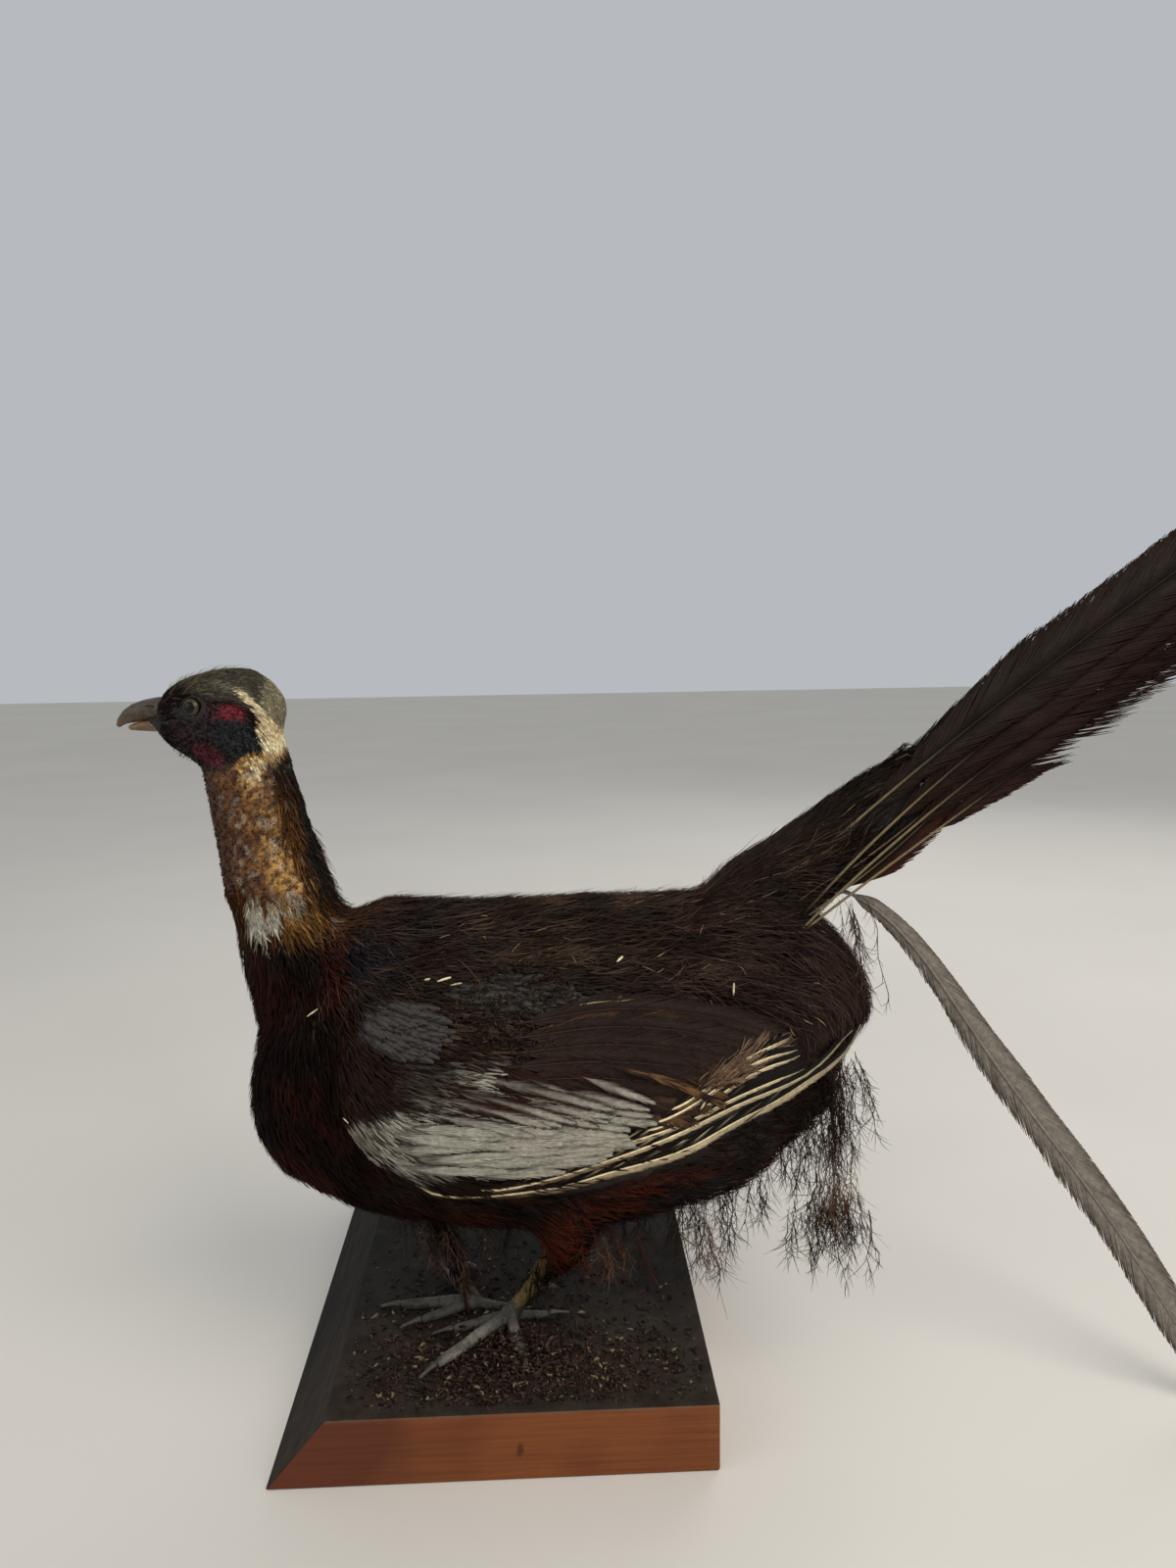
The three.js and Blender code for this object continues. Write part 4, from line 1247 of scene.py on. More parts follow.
class PHEASANT_OT_head_feathers(bpy.types.Operator):
    """Lays the short feathers of the crown, nape and face"""

    bl_idname = "pheasant.head_feathers"
    bl_label = "Head feathers"

    def execute(self, context):
        rng = np.random.default_rng(101)

        def open_eye(points):
            gap = np.hypot((points[:, 0] - EYE_X) / 1.1, points[:, 2] - EYE_Z)
            return smooth(5.4, 6.6, gap)

        def bare(points):
            spots = spot(points, -124, 333, 22, 17, 0)
            return spots * smooth(350, 346, points[:, 2] + 0.3 * (points[:, 0] + 118))

        def head(points):
            return smooth(318, 324, points[:, 2]) * smooth(-82, -88, points[:, 0])

        def crown(points):
            feathered = head(points) * (1 - bare(points)) * open_eye(points)
            return feathered * smooth(-150, -146, points[:, 0])

        def face(points):
            return head(points) * bare(points) * open_eye(points)

        coat = Coat()
        lay(coat, sizes().crown_plumes, crown, rng, (3.0, 6.0), (0.35, 0.8), (0.1, 0.6), stations=3,
            stray=7, curl=0.3, height=0.14, vary=0.25)
        lay(coat, 150, lambda p: head(p) * spot(p, -130, 359, 20, 7, 22), rng, (5, 10),
            (0.14, 0.24), (0.2, 2.8), lambda p: mixed(markings(p), ink("straw"), 0.5),
            stray=24, cling=0.6, curl=1.2)
        lay(coat, sizes().face_plumes, face, rng, (0.8, 1.7), (0.25, 0.5), (0.05, 0.45), stations=3,
            stray=30, curl=0.2, light=(0.6, 1.2), vary=0.45)
        roots = skin_surface().scatter(170, lambda p: head(p) * spot(p, -137, 328, 12, 5, -35), rng)
        black = mixed(markings(roots), ink("cheek"), 0.85)
        down = np.tile((-0.35, 0.0, -0.94), (len(roots), 1))
        plumes(coat, roots, black, rng, (1.4, 3.4), (0.18, 0.35), (0.2, 1.6), stations=3, stray=22,
               cling=0.3, heading=down)
        plumage_piece("head_feathers", coat)
        return {"FINISHED"}


class PHEASANT_OT_neck_feathers(bpy.types.Operator):
    """Lays the stubs on the bare neck, the dark feathers behind it and the collar's remains"""

    bl_idname = "pheasant.neck_feathers"
    bl_label = "Neck feathers"

    def execute(self, context):
        rng = np.random.default_rng(102)

        def neck(points, low=236, high=326):
            inside = smooth(low, low + 8, points[:, 2]) * smooth(high, high - 6, points[:, 2])
            return inside * smooth(-52, -70, points[:, 0])

        def patchy(points):
            return markings(points) * rng.uniform(0.4, 1.6, len(points))[:, None]

        coat = Coat()
        lay(coat, sizes().neck_plumes, neck, rng, (0.6, 1.7), (0.3, 0.75), (0.05, 0.75), patchy,
            stations=3, stray=70, curl=0.3, height=0.4, light=(0.4, 1.35), tip=0.5)
        plumage_piece("neck_stubs", coat)
        coat = Coat()

        def low_side(points):
            return neck(points, 232, 262) * smooth(0.7, 0.5, neck_side(points))

        def gilded(points):
            # Gold flecks in the neck gold colour, which holds a painted highlight.
            return paint(markings(points), "neck_gold_and_highlight", 0.5 * smooth(0.6, 0.75, mottle(points, 3, 97)))

        lay(coat, 1500, low_side, rng, (5, 10), (0.4, 0.9), (0.2, 1.5), gilded, stray=12, curl=0.7)

        def behind(points):
            return neck(points, 226, 318) * smooth(0.5, 0.85, neck_side(points))

        lay(coat, 2300, behind, rng, (7, 14), (0.7, 1.6), (0.3, 2.0), stray=13, curl=1.4, cling=0.8)

        def collar(points):
            patch = np.maximum(spot(points, -106, 250, 4.5, 9, 8), spot(points, -98, 253, 2.6, 8, 4))
            return patch + 0.1 * spot(points, -92, 250, 12, 12, 0)

        lay(coat, 420, collar, rng, (4, 9), (0.4, 1.0), (0.3, 1.6), stray=14, curl=0.9,
            light=(0.9, 1.0), vary=0.25)
        for middle, count in (((-83, 0, 281), 70), ((-78, 0, 262), 60), ((-70, 0, 253), 80)):
            tuft = rng.normal(middle, (2.0, 9, 5), (count, 3))
            plumes(coat, tuft, markings(tuft), rng, (7, 14), (0.3, 0.8), (0.5, 4.5), stations=4,
                   stray=24, cling=0.5, curl=2.0)
        plumage_piece("neck_feathers", coat)
        return {"FINISHED"}


class PHEASANT_OT_body_feathers(bpy.types.Operator):
    """Lays the feathers of the breast, back, belly, thighs and rump"""

    bl_idname = "pheasant.body_feathers"
    bl_label = "Body feathers"

    def execute(self, context):
        self.breast()
        self.back()
        self.belly()
        self.rump()
        return {"FINISHED"}

    def breast(self):
        """Small dark overlapping feathers with maroon and copper edges."""
        rng = np.random.default_rng(103)

        def region(points):
            x, z = points[:, 0], points[:, 2]
            return smooth(250, 238, z) * smooth(-42, -58, x) * off_wing(points)

        def edged(points):
            return paint(markings(points), "copper", 0.25 * smooth(0.55, 0.7, mottle(points, 9, 91)))

        coat = Coat()
        lay(coat, sizes().breast_plumes, region, rng, (8, 15), (0.9, 2.3), (0.4, 3.4), edged,
            stations=3, stray=13, curl=1.0)
        plumage_piece("breast_feathers", coat)

    def back(self):
        """Fine hair-like feathers of the mantle and back, with a few straws."""
        rng = np.random.default_rng(104)

        def region(points):
            x, z = points[:, 0], points[:, 2]
            front = smooth(-66, -54, x - 0.5 * (z - 245))
            return smooth(208, 220, z) * front * smooth(122, 108, x) * off_wing(points)

        def clouded(points):
            shades = paint(markings(points), "maroon", 0.6 * smooth(0.5, 0.7, mottle(points, 12, 92)))
            return paint(shades, "dusty", 0.3 * smooth(0.55, 0.75, mottle(points, 8, 93)))

        def faded(points):
            return paint(markings(points), "dusty", rng.uniform(0.1, 0.6, len(points)))

        coat = Coat()
        lay(coat, sizes().back_plumes, region, rng, (10, 21), (0.4, 1.3), (0.5, 3.6), clouded,
            stray=13, curl=2.0, light=(0.55, 1.3), vary=0.5)
        lay(coat, 900, region, rng, (10, 26), (0.16, 0.4), (1.5, 5.6), faded, stray=26, curl=4.0,
            light=(0.8, 1.3))
        plumage_piece("back_feathers", coat)

    def belly(self):
        """Dark down under the body and on the thighs, frayed along the lower edge."""
        rng = np.random.default_rng(105)

        def region(points):
            x, z = points[:, 0], points[:, 2]
            low = smooth(205, 176, z) * off_wing(points) * smooth(-66, -50, x) + smooth(112, 100, z)
            return np.clip(low, 0, 1) * smooth(46, 60, z)

        def rusty(points):
            return paint(markings(points), "rust", 0.45 * smooth(0.6, 0.72, mottle(points, 8, 94)))

        coat = Coat()
        lay(coat, sizes().belly_plumes, region, rng, (9, 19), (0.4, 1.4), (0.4, 3.8), rusty,
            stray=20, curl=2.6)
        lay(coat, 700, lambda p: region(p) * smooth(110, 96, p[:, 2]), rng, (10, 26), (0.2, 0.5),
            (0.5, 5.0), lambda p: markings(p) * 1.4, stations=5, stray=34, curl=5.0, cling=0.5)
        plumage_piece("belly_feathers", coat)

    def rump(self):
        """Long loose barbs that hang from the tail's base over the rump."""
        rng = np.random.default_rng(106)

        def region(points):
            x, z = points[:, 0], points[:, 2]
            return smooth(84, 102, x) * smooth(172, 186, z) * smooth(280, 262, z) * off_wing(points)

        def clouded(points):
            return paint(markings(points), "dusty", 0.3 * smooth(0.58, 0.78, mottle(points, 7, 95)))

        def faded(points):
            return paint(markings(points), "dusty", rng.uniform(0.1, 0.7, len(points)))

        coat = Coat()
        lay(coat, sizes().rump_plumes, region, rng, (18, 40), (0.35, 1.0), (0.8, 5.0), clouded,
            stations=5, stray=12, curl=3.5, cling=0.85, light=(0.5, 1.25), vary=0.5)
        lay(coat, 420, region, rng, (16, 38), (0.16, 0.4), (2.0, 6.4), faded, stations=5, stray=18,
            curl=5.0, cling=0.85, light=(0.8, 1.2))
        plumage_piece("rump_feathers", coat)


# ---------------------------------------------------------------- wings
# Side-view lines of the folded wing's feathers, each from its root to its tip. The primaries run
# from the lowest up; the inner quills lie evenly between the lowest and the highest.
PRIMARIES = (
    ((-44, 131), (-16, 124), (27, 129), (53, 137), (87, 145), (112, 155), (138, 167), (158, 176),
     (175, 190)),
    ((-30, 134), (0, 130), (27, 136), (54, 145), (82, 154), (112, 165), (136, 174), (156, 183),
     (170, 191)),
    ((-12, 137), (28, 146), (60, 153), (87, 160), (112, 170), (127, 176), (140, 181)),
    ((60, 156), (80, 161), (98, 168), (109, 175), (122, 182), (138, 187)),
    ((64, 159), (84, 166), (101, 175), (112, 182), (124, 187), (137, 190)),
    ((70, 163), (88, 171), (101, 179), (114, 187), (124, 191), (134, 194)),
)
GOLDEN = ((54, 190), (72, 185), (88, 178), (104, 169))
INNER_LOW = ((8, 174), (40, 172), (68, 168), (90, 164))
INNER_HIGH = ((14, 207), (58, 211), (98, 206), (130, 196))
INNER_COUNT = 7


def wing_line(low, high, share, side, lift, count=24):
    """A shaft on the folded wing, between two side-view lines, laid on the skin of one side."""
    flat = smooth_line(low, count) * (1 - share) + smooth_line(high, count) * share
    surface = skin_surface()
    line = []
    for x, z in flat:
        hit = surface.from_side(side, x, z)
        line.append((x, hit[1] if hit else np.nan, z))
    line = np.array(line)
    known = ~np.isnan(line[:, 1])
    line[:, 1] = np.interp(np.arange(count), np.flatnonzero(known), line[known, 1])
    fit = np.polynomial.Polynomial.fit(np.arange(count), line[:, 1], 5)
    line[:, 1] = fit(np.arange(count))
    _, normal = surface.nearest(line)
    normal[:, 0] *= 0.5
    normal = unit(normal * (1, 1, 0.8))
    normal[normal[:, 1] * side < 0] *= -1
    tangent = unit(np.gradient(line, axis=0))
    across = unit(np.cross(tangent, normal))
    out = unit(np.cross(across, tangent))
    return Shaft(line + out * lift, across, out)


def primary_shade(order):
    """Cream outer vane and shaft, and a dark inner vane with pale notches along the shaft."""
    def shade(t, s, side, rng):
        cream = ink("quill_cream")
        places = np.stack([t * 26, s * 2, np.full(t.shape, order * 3.7)], -1)
        worn = (smooth(0.84, 1.0, t) if order > 1 else smooth(0.6, 0.95, t))[..., None]
        pale = mixed(cream, ink("golden"), smooth(0.6, 0.1, t)) * (0.84 - 0.4 * worn)
        if side == 0:
            return cream * (1.2 - 0.8 * worn)
        if side > 0:
            share = 0.6 + 0.4 * mottle(places, 1.0, 112) - 0.3 * smooth(0.75, 1.0, s)
        else:
            notch = smooth(0.3, 0.8, np.cos(2 * math.pi * (t * 19 + 0.3 * order + 0.5 * s)))
            share = notch * smooth(0.25, 0.6, s) * smooth(0.8, 0.5, t) * smooth(0.08, 0.2, t)
            share = share * smooth(0.3, 0.55, mottle(places, 1.0, 114))
        share = np.clip(share, 0, 1) * smooth(1.04, 0.9, t)
        return mixed(ink("quill_dark"), pale, share)
    return shade


def primary_shape(t, side):
    """The width of a primary along its length, wide from its hidden root on."""
    return np.minimum(1, 0.75 + 3.0 * t) * np.clip(1 - t**5, 0, 1) ** 0.5


def golden_shade(t, s, side, rng):
    """The one golden feather over the inner quills."""
    places = np.stack([t * 16, s * 3, np.zeros(t.shape)], -1)
    share = smooth(0.35, 0.6, mottle(places, 1.0, 115)) * smooth(0.0, 0.3, t) * smooth(1.1, 0.5, s)
    return mixed(ink("secondary"), ink("golden"), share)


def inner_shade(order):
    """Purple-brown inner quills, with thin golden edges and golden ends on the lower ones."""
    def shade(t, s, side, rng):
        places = np.stack([t * 14, s * 3, np.full(t.shape, order * 5.1)], -1)
        cloud = mottle(places, 1.0, 113)
        ends = smooth(0.6, 0.9, t) * smooth(4.0, 1.5, order) * smooth(0.3, 0.6, cloud)
        edge = 0.6 * smooth(0.7, 1.0, s) * smooth(0.5, 0.62, cloud) * (order == 5)
        edge = edge * smooth(0.6, 0.4, t)
        share = np.maximum(0.7 * ends, edge)
        if side == 0:
            share = 0.12 + 0 * t
        dark = smooth(0.05, 0.02, np.hypot(t - 0.78, (s - 0.35) * 0.1)) * (order == 2)
        made = mixed(ink("secondary"), ink("golden"), np.clip(share, 0, 1))
        return made * (1 - 0.9 * dark * (side > 0))[..., None]
    return shade


def pale_shade(upper, row):
    """Pale grey coverts; in the upper rows the edges and roots are maroon."""
    def shade(t, s, side, rng):
        edge = smooth(0.4, 0.7, s) * (0.15 + 0.85 * upper) * (side != 0)
        places = np.stack([t * 9, s * 1.5, np.full(t.shape, 7.3 * row)], -1)
        broken = smooth(0.35, 0.65, mottle(places, 1.0, 116))
        fresh = smooth(0.85, 0.4, t) * upper * (0.55 + 0.45 * broken)
        fresh = fresh + 0.6 * broken * smooth(0.5, 0.25, t)
        share = np.clip(edge + fresh, 0, 1)
        barb = rng.uniform(0.8, 1.14, (t.shape[0], 1))
        return mixed(ink("pale"), ink("maroon"), share) * barb[..., None]
    return shade


def covert_shape(t, side):
    """The width of a long covert along its length, with a pointed tip."""
    return np.minimum(1, 0.7 + 2.4 * t) * np.clip(1 - t**2.8, 0, 1) ** 0.75


class PHEASANT_OT_wings(bpy.types.Operator):
    """Lays both folded wings: small coverts, long pale coverts, inner quills and primaries"""

    bl_idname = "pheasant.wings"
    bl_label = "Folded wings"

    def execute(self, context):
        for side, sign in SIDES:
            self.quills(side, sign)
            self.pale_coverts(side, sign)
            self.small_coverts(side, sign)
        return {"FINISHED"}

    def quills(self, side, sign):
        """The primaries along the lower edge, and the inner quills above them."""
        rng = np.random.default_rng(120 + sign)
        coat = Coat()
        for order, line in enumerate(PRIMARIES):
            shaft = wing_line(line, line, 0, sign, 1.2 + 0.4 * order + 0.7 * (order > 3))
            x, z = shaft.line[:, 0], shaft.line[:, 2]
            rise = 6.5 * smooth(104, 146, x) * smooth(203, 178, z) - 5 * smooth(16, 0, x - x[0])
            shaft.line = shaft.line + shaft.out * rise[:, None]
            width = (5.4 - 0.4 * order, (4.4, 2.6, 2.1, 1.7, 1.5, 1.9)[order])
            shade = self.turned(primary_shade(order), sign)
            quill(coat, shaft, rng, width[::-sign], shade, 0.04 + 0.05 * order, angle=17,
                  rod=(0.62, 0.18), lean=2.0, overlap=2.6, shape=primary_shape)
        for order in range(INNER_COUNT):
            share = order / (INNER_COUNT - 1)
            shaft = wing_line(INNER_LOW, INNER_HIGH, share, sign, 3.0 + 0.3 * order)
            quill(coat, shaft, rng, (8.0, 8.0), inner_shade(order), 0.46 + 0.05 * order, angle=22,
                  rod=(0.35, 0.12), ragged=0.16, lean=4.5, split=0.14)
        shaft = wing_line(GOLDEN, GOLDEN, 0, sign, 6.2)
        quill(coat, shaft, rng, (2.4, 2.4), golden_shade, 0.9, angle=14, rod=(0.3, 0.1), ragged=0.3)
        replaced = (f"wing_{side}_primaries", f"wing_{side}_secondaries")
        quill_piece(f"wing_quills_{side}", coat, replaced)

    def turned(self, shade, sign):
        """The same colours with the two vanes exchanged on the left wing."""
        def swapped(t, s, side, rng):
            return shade(t, s, side * -sign, rng)
        return swapped

    def pale_coverts(self, side, sign):
        """Rows of long pale feathers, pointing down towards the tail above and level below."""
        rng = np.random.default_rng(130 + sign)
        coat = Coat()
        row = 0
        for z in np.arange(142, 193, 4.5):
            for x in np.arange(-42 + (z % 3) * 4, 36, 14 + 5 * (z > 172)):
                bare = x > 38 - 0.55 * abs(z - 172) or x < 1.2 * (z - 172) - 30
                if bare or rng.random() < 0.12:
                    continue
                slope = float(np.interp(z, (146, 166, 196), (9, -6, -24))) + rng.normal(0, 3.5)
                turn = math.radians(slope)
                reach = rng.uniform(46, 60) + 12 * smooth(166, 184, z)
                start = (x - 11 + rng.normal(0, 2), z - 11 * math.tan(turn) + rng.normal(0, 1.5))
                end = (start[0] + reach * math.cos(turn), start[1] + reach * math.sin(turn))
                middle = ((start[0] + end[0]) / 2, (start[1] + end[1]) / 2 + 1.2)
                lift = 3.4 + 0.6 * rng.random() + 0.02 * (36 - x)
                shaft = wing_line((start, middle, end), (start, middle, end), 0, sign, lift, 12)
                sunk = np.interp(np.linspace(0, 1, 12), (0, 0.34, 1), (-7.5, -0.6, 1.0))
                shaft.line = shaft.line + shaft.out * sunk[:, None]
                upper = float(smooth(162, 176, z))
                quill(coat, shaft, rng, (3.4, 3.3), pale_shade(upper, row), 0.02 + 0.01 * row, angle=13,
                      gap=1.3, rod=(0.25, 0.1), lean=2.5, clump=5, ragged=0.3, stations=3,
                      overlap=3.1, shape=covert_shape, split=0.12)
                row += 1
        replaced = (f"wing_{side}_coverts",)
        quill_piece(f"wing_long_coverts_{side}", coat, replaced)

    def small_coverts(self, side, sign):
        """The small feathers of the shoulder, slate patch, front edge and dense pale area."""
        rng = np.random.default_rng(140 + sign)

        def region(points):
            long_ones = smooth(-14, 4, points[:, 0]) * smooth(198, 190, points[:, 2])
            on_side = smooth(2, 10, points[:, 1] * sign)
            covered = (1 - off_wing(points)) * on_side * (1 - 0.93 * long_ones)
            return covered * smooth(96, 70, points[:, 0])

        coat = Coat()
        roots = skin_surface().scatter(sizes().covert_plumes // 2, region, rng)
        shades = wing_markings(roots)
        plumes(coat, roots, shades, rng, (7, 12), (0.9, 2.0), (1.6, 3.4), stations=3, stray=7,
               curl=0.5, light=(0.8, 1.05), height=0.1, heading=self.heading(roots), tip=0.3, vary=0.13)
        for mark, count, share in (((-41, 206, 13, 9, 0), 130, 1.0), ((8, 217, 26, 5, -6), 80, 0.7)):
            roots = skin_surface().scatter(count, lambda p: region(p) * spot(p, *mark), rng)
            shades = mixed(wing_markings(roots), ink("slate"), share)
            plumes(coat, roots, shades, rng, (12, 19), (3.0, 4.6), (2.2, 3.9), stations=4, stray=6,
                   light=(0.95, 1.0), height=0.1, heading=self.heading(roots), tip=0.4, vary=0.08)

        def patch(points):
            return spot(points, 112, 184, 19, 5, 20) * smooth(2, 10, points[:, 1] * sign)

        roots = skin_surface().scatter(220, patch, rng)
        shades = 1.3 * paint(wing_markings(roots), "dusty", rng.uniform(0.5, 1.0, len(roots)))
        up = np.tile(unit(np.array([0.85, 0.0, 0.5])), (len(roots), 1))
        plumes(coat, roots, shades, rng, (7, 14), (0.4, 1.2), (4.4, 6.0), stray=14, curl=1.5,
               heading=up)
        plumage_piece(f"wing_small_coverts_{side}", coat)

    def heading(self, points):
        """Down the front edge, then back along the wing."""
        turn = np.interp(points[:, 0], (-66, -40, 0, 60), (-50, -16, -8, -6))
        turn = np.radians(turn)
        return np.stack([np.cos(turn), np.zeros(len(points)), np.sin(turn)], -1)


# ---------------------------------------------------------------- tail
def straw_line(t):
    """A straw-coloured shaft that darkens to its tip."""
    return 0.5 * ink("straw") * (1 - 0.6 * smooth(0.2, 0.6, t))[:, None]


def node_shaft(name, back, count=40, degree=3):
    """The middle line of a feather's node, started a little further back, with its vane's plane."""
    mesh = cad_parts[name].data
    corners = positions(mesh)[triangles_of(mesh)]
    areas = areas_of(corners)
    rng = np.random.default_rng(7)
    chosen = rng.choice(len(corners), size=SHAFT_SAMPLES, p=areas / areas.sum())
    samples = within(corners[chosen], rng)
    low, high = samples[samples[:, 0].argmin()], samples[samples[:, 0].argmax()]
    chord = unit(high - low)
    along = (samples - low) @ chord
    length = along.max()
    curves = [np.polynomial.Polynomial.fit(along, samples[:, k], degree) for k in range(3)]
    place = np.linspace(-back, length, count)
    line = np.stack([curve(place) for curve in curves], axis=-1)
    middle = np.stack([curve(along) for curve in curves], axis=-1)
    spread = samples - middle
    spread = spread - (spread @ chord)[:, None] * chord
    _, _, axes = np.linalg.svd(spread, full_matrices=False)
    tangent = unit(np.gradient(line, axis=0))
    across = unit(axes[0] - tangent * (tangent @ axes[0])[:, None])
    out = unit(np.cross(tangent, across))
    return Shaft(line, across, out)


class PHEASANT_OT_tail(bpy.types.Operator):
    """Makes the tail feathers, the feathers over their roots and the loose feather"""

    bl_idname = "pheasant.tail"
    bl_label = "Tail"

    def execute(self, context):
        for side, sign in SIDES:
            rng = np.random.default_rng(150 + sign)
            coat = Coat()
            for order in range(4):
                self.feather(coat, side, sign, order, rng)
            self.red_feathers(coat, sign, rng)
            names = tuple(f"tail_feather_{side}_{n}" for n in (1, 2, 3, 4))
            quill_piece(f"tail_vanes_{side}", coat, names)
        self.coverts()
        self.loose()
        return {"FINISHED"}

    def feather(self, coat, side, sign, order, rng):
        """One tail feather: a bare straw-coloured root, and vanes that fray below."""
        shaft = node_shaft(f"tail_feather_{side}_{order + 1}", (44, 36, 22, 20)[order])
        if shaft.out[0][1] * sign < 0:
            shaft.out = -shaft.out
        if shaft.across[0][2] > 0:
            shaft.across = -shaft.across
        half = (14.5, 13.5, 12.5, 11.0)[order]
        upper = half + 5 * (order == 0)
        start = (0.1, 0.16, 0.26, 0.34)[order]
        base = mixed(ink("tail"), ink("tail_grey"), (0.8, 0.25, 0.15, 0.3)[order])
        red = ink("tail_red")

        def shade(t, s, vane, rng):
            made = mixed(base, red, (0.12, 0.25, 0.3, 0.4)[order])
            edge = smooth(0.55, 1.0, s)[..., None]
            bar = smooth(0.35, 0.15, np.abs(np.mod(t * 15 + 0.4 * s, 1) - 0.5))[..., None]
            made = made * (1 - 0.22 * bar * (1 - 0.7 * edge))
            made = made + (red * 0.7 - made) * edge * 0.2
            return made * rng.uniform(0.88, 1.1, (t.shape[0], 1, 1))

        def rod_shade(t):
            share = smooth(start + 0.12, start - 0.02, t) * smooth(-0.01, 0.09, t)
            return mixed(base * 0.8, 0.5 * ink("straw"), share)

        def shape(t, vane):
            form = np.minimum(1, 0.3 + 5.0 * np.clip(t - start, 0, 1))
            return form * np.clip(1 - t**3.4, 0, 1) ** 0.6

        def fray(t, vane):
            low = smooth(0.42, 0.55, t) * smooth(0.95, 0.85, t) * (vane > 0) * (0, 0.1, 0.5, 0.9)[order]
            return low + 0.35 * smooth(start + 0.12, start, t)

        quill(coat, shaft, rng, (upper, half), shade, 0.1 + 0.2 * order, angle=27, start=start,
              ragged=0.05, lean=1.8, clump=16, rod=(0.7, 0.3), rod_shade=rod_shade, cup=0.06,
              split=0.02, shape=shape, fray=fray, gap=0.85, overlap=2.5)

    def red_feathers(self, coat, sign, rng):
        """Two short red-brown feathers under the root of the tail, with bare straw-coloured shafts at
        their roots.
        """

        def shade(t, s, vane, rng):
            made = mixed(ink("tail"), ink("tail_red"), smooth(0.0, 0.6, s) * (vane > 0))
            return made * rng.uniform(0.85, 1.15, (t.shape[0], 1, 1))

        across = np.tile(unit(np.array([0.6, 0, -0.8])), (20, 1))
        out = np.tile((0.0, float(sign), 0.0), (20, 1))
        for row, (x, z, reach) in enumerate(((150, 238, 92), (160, 252, 108))):
            y = sign * (13 - 2 * row)
            ends = ((x, y, z), (x + 0.4 * reach, y * 1.1, z + 0.3 * reach),
                    (x + 0.8 * reach, y * 1.1, z + 0.66 * reach))
            shaft = Shaft(smooth_line(ends, 20), across, out)
            quill(coat, shaft, rng, (3.0, 10.0), shade, 0.92 + 0.04 * row, angle=26, start=0.3,
                  rod=(0.6, 0.2), lean=3, rod_shade=straw_line)

    def coverts(self):
        """Long dark feathers that cover the roots of the tail."""
        rng = np.random.default_rng(160)

        def region(points):
            x, z = points[:, 0], points[:, 2]
            return smooth(98, 112, x) * smooth(236, 248, z - 0.75 * (x - 105))

        coat = Coat()
        roots = skin_surface().scatter(2800, region, rng)
        along = np.tile(unit(np.array([math.cos(TAIL_RISE), 0, math.sin(TAIL_RISE)])), (len(roots), 1))
        shades = paint(markings(roots), "back", 0.6 * smooth(0.45, 0.7, mottle(roots, 6, 96)))
        plumes(coat, roots, shades, rng, (20, 46), (0.5, 1.5), (0.6, 4.0), stations=5, stray=6,
               curl=1.5, cling=0.6, heading=along, light=(0.6, 1.1))
        straw = rows_of("straw", 70)
        low = np.argsort(roots[:, 2] - 0.75 * roots[:, 0] + rng.normal(0, 6, len(roots)))[:70]
        plumes(coat, roots[low], 0.6 * straw, rng, (26, 52), (0.3, 0.5), (1.5, 3.4), stations=5,
               stray=5, cling=0.7, heading=along[:70], height=0.35, light=(0.9, 0.7))
        plumage_piece("tail_covert_feathers", coat)

    def loose(self):
        """The one long feather that hangs from the rump to the floor, ragged along its left edge."""
        rng = np.random.default_rng(170)
        shaft = node_shaft("tail_feather_loose", 6, 60, 5)
        if shaft.across[0][0] < 0:
            shaft.across = -shaft.across
        if shaft.out[0][1] > 0:
            shaft.out = -shaft.out

        def shade(t, s, vane, rng):
            edge = smooth(0.7, 1.0, s) * (0.8 if vane < 0 else 0.25)
            bar = smooth(0.3, 0.1, np.abs(np.mod(t * 17, 1) - 0.5))[..., None]
            made = mixed(ink("hanging") * (1 - 0.12 * bar), ink("tail"), edge)
            return made * rng.uniform(0.85, 1.12, (t.shape[0], 1, 1))

        def shape(t, vane):
            form = np.minimum(1, 0.35 + 1.8 * t)
            return form * np.clip(1 - t**9, 0, 1) ** 0.5

        def fray(t, vane):
            return (0.5 if vane < 0 else 0.0) * (0.4 + 0.6 * smooth(0.9, 0.3, t))

        coat = Coat()
        quill(coat, shaft, rng, (9.5, 10.8), shade, 0.5, angle=24, ragged=0.01, shape=shape, fray=fray,
              rod=(1.0, 0.35), lean=0.8, clump=18, gap=0.7, overlap=3.4, cup=0.12, jitter=0.25)
        quill_piece("loose_tail_feather", coat, ("tail_feather_loose",))


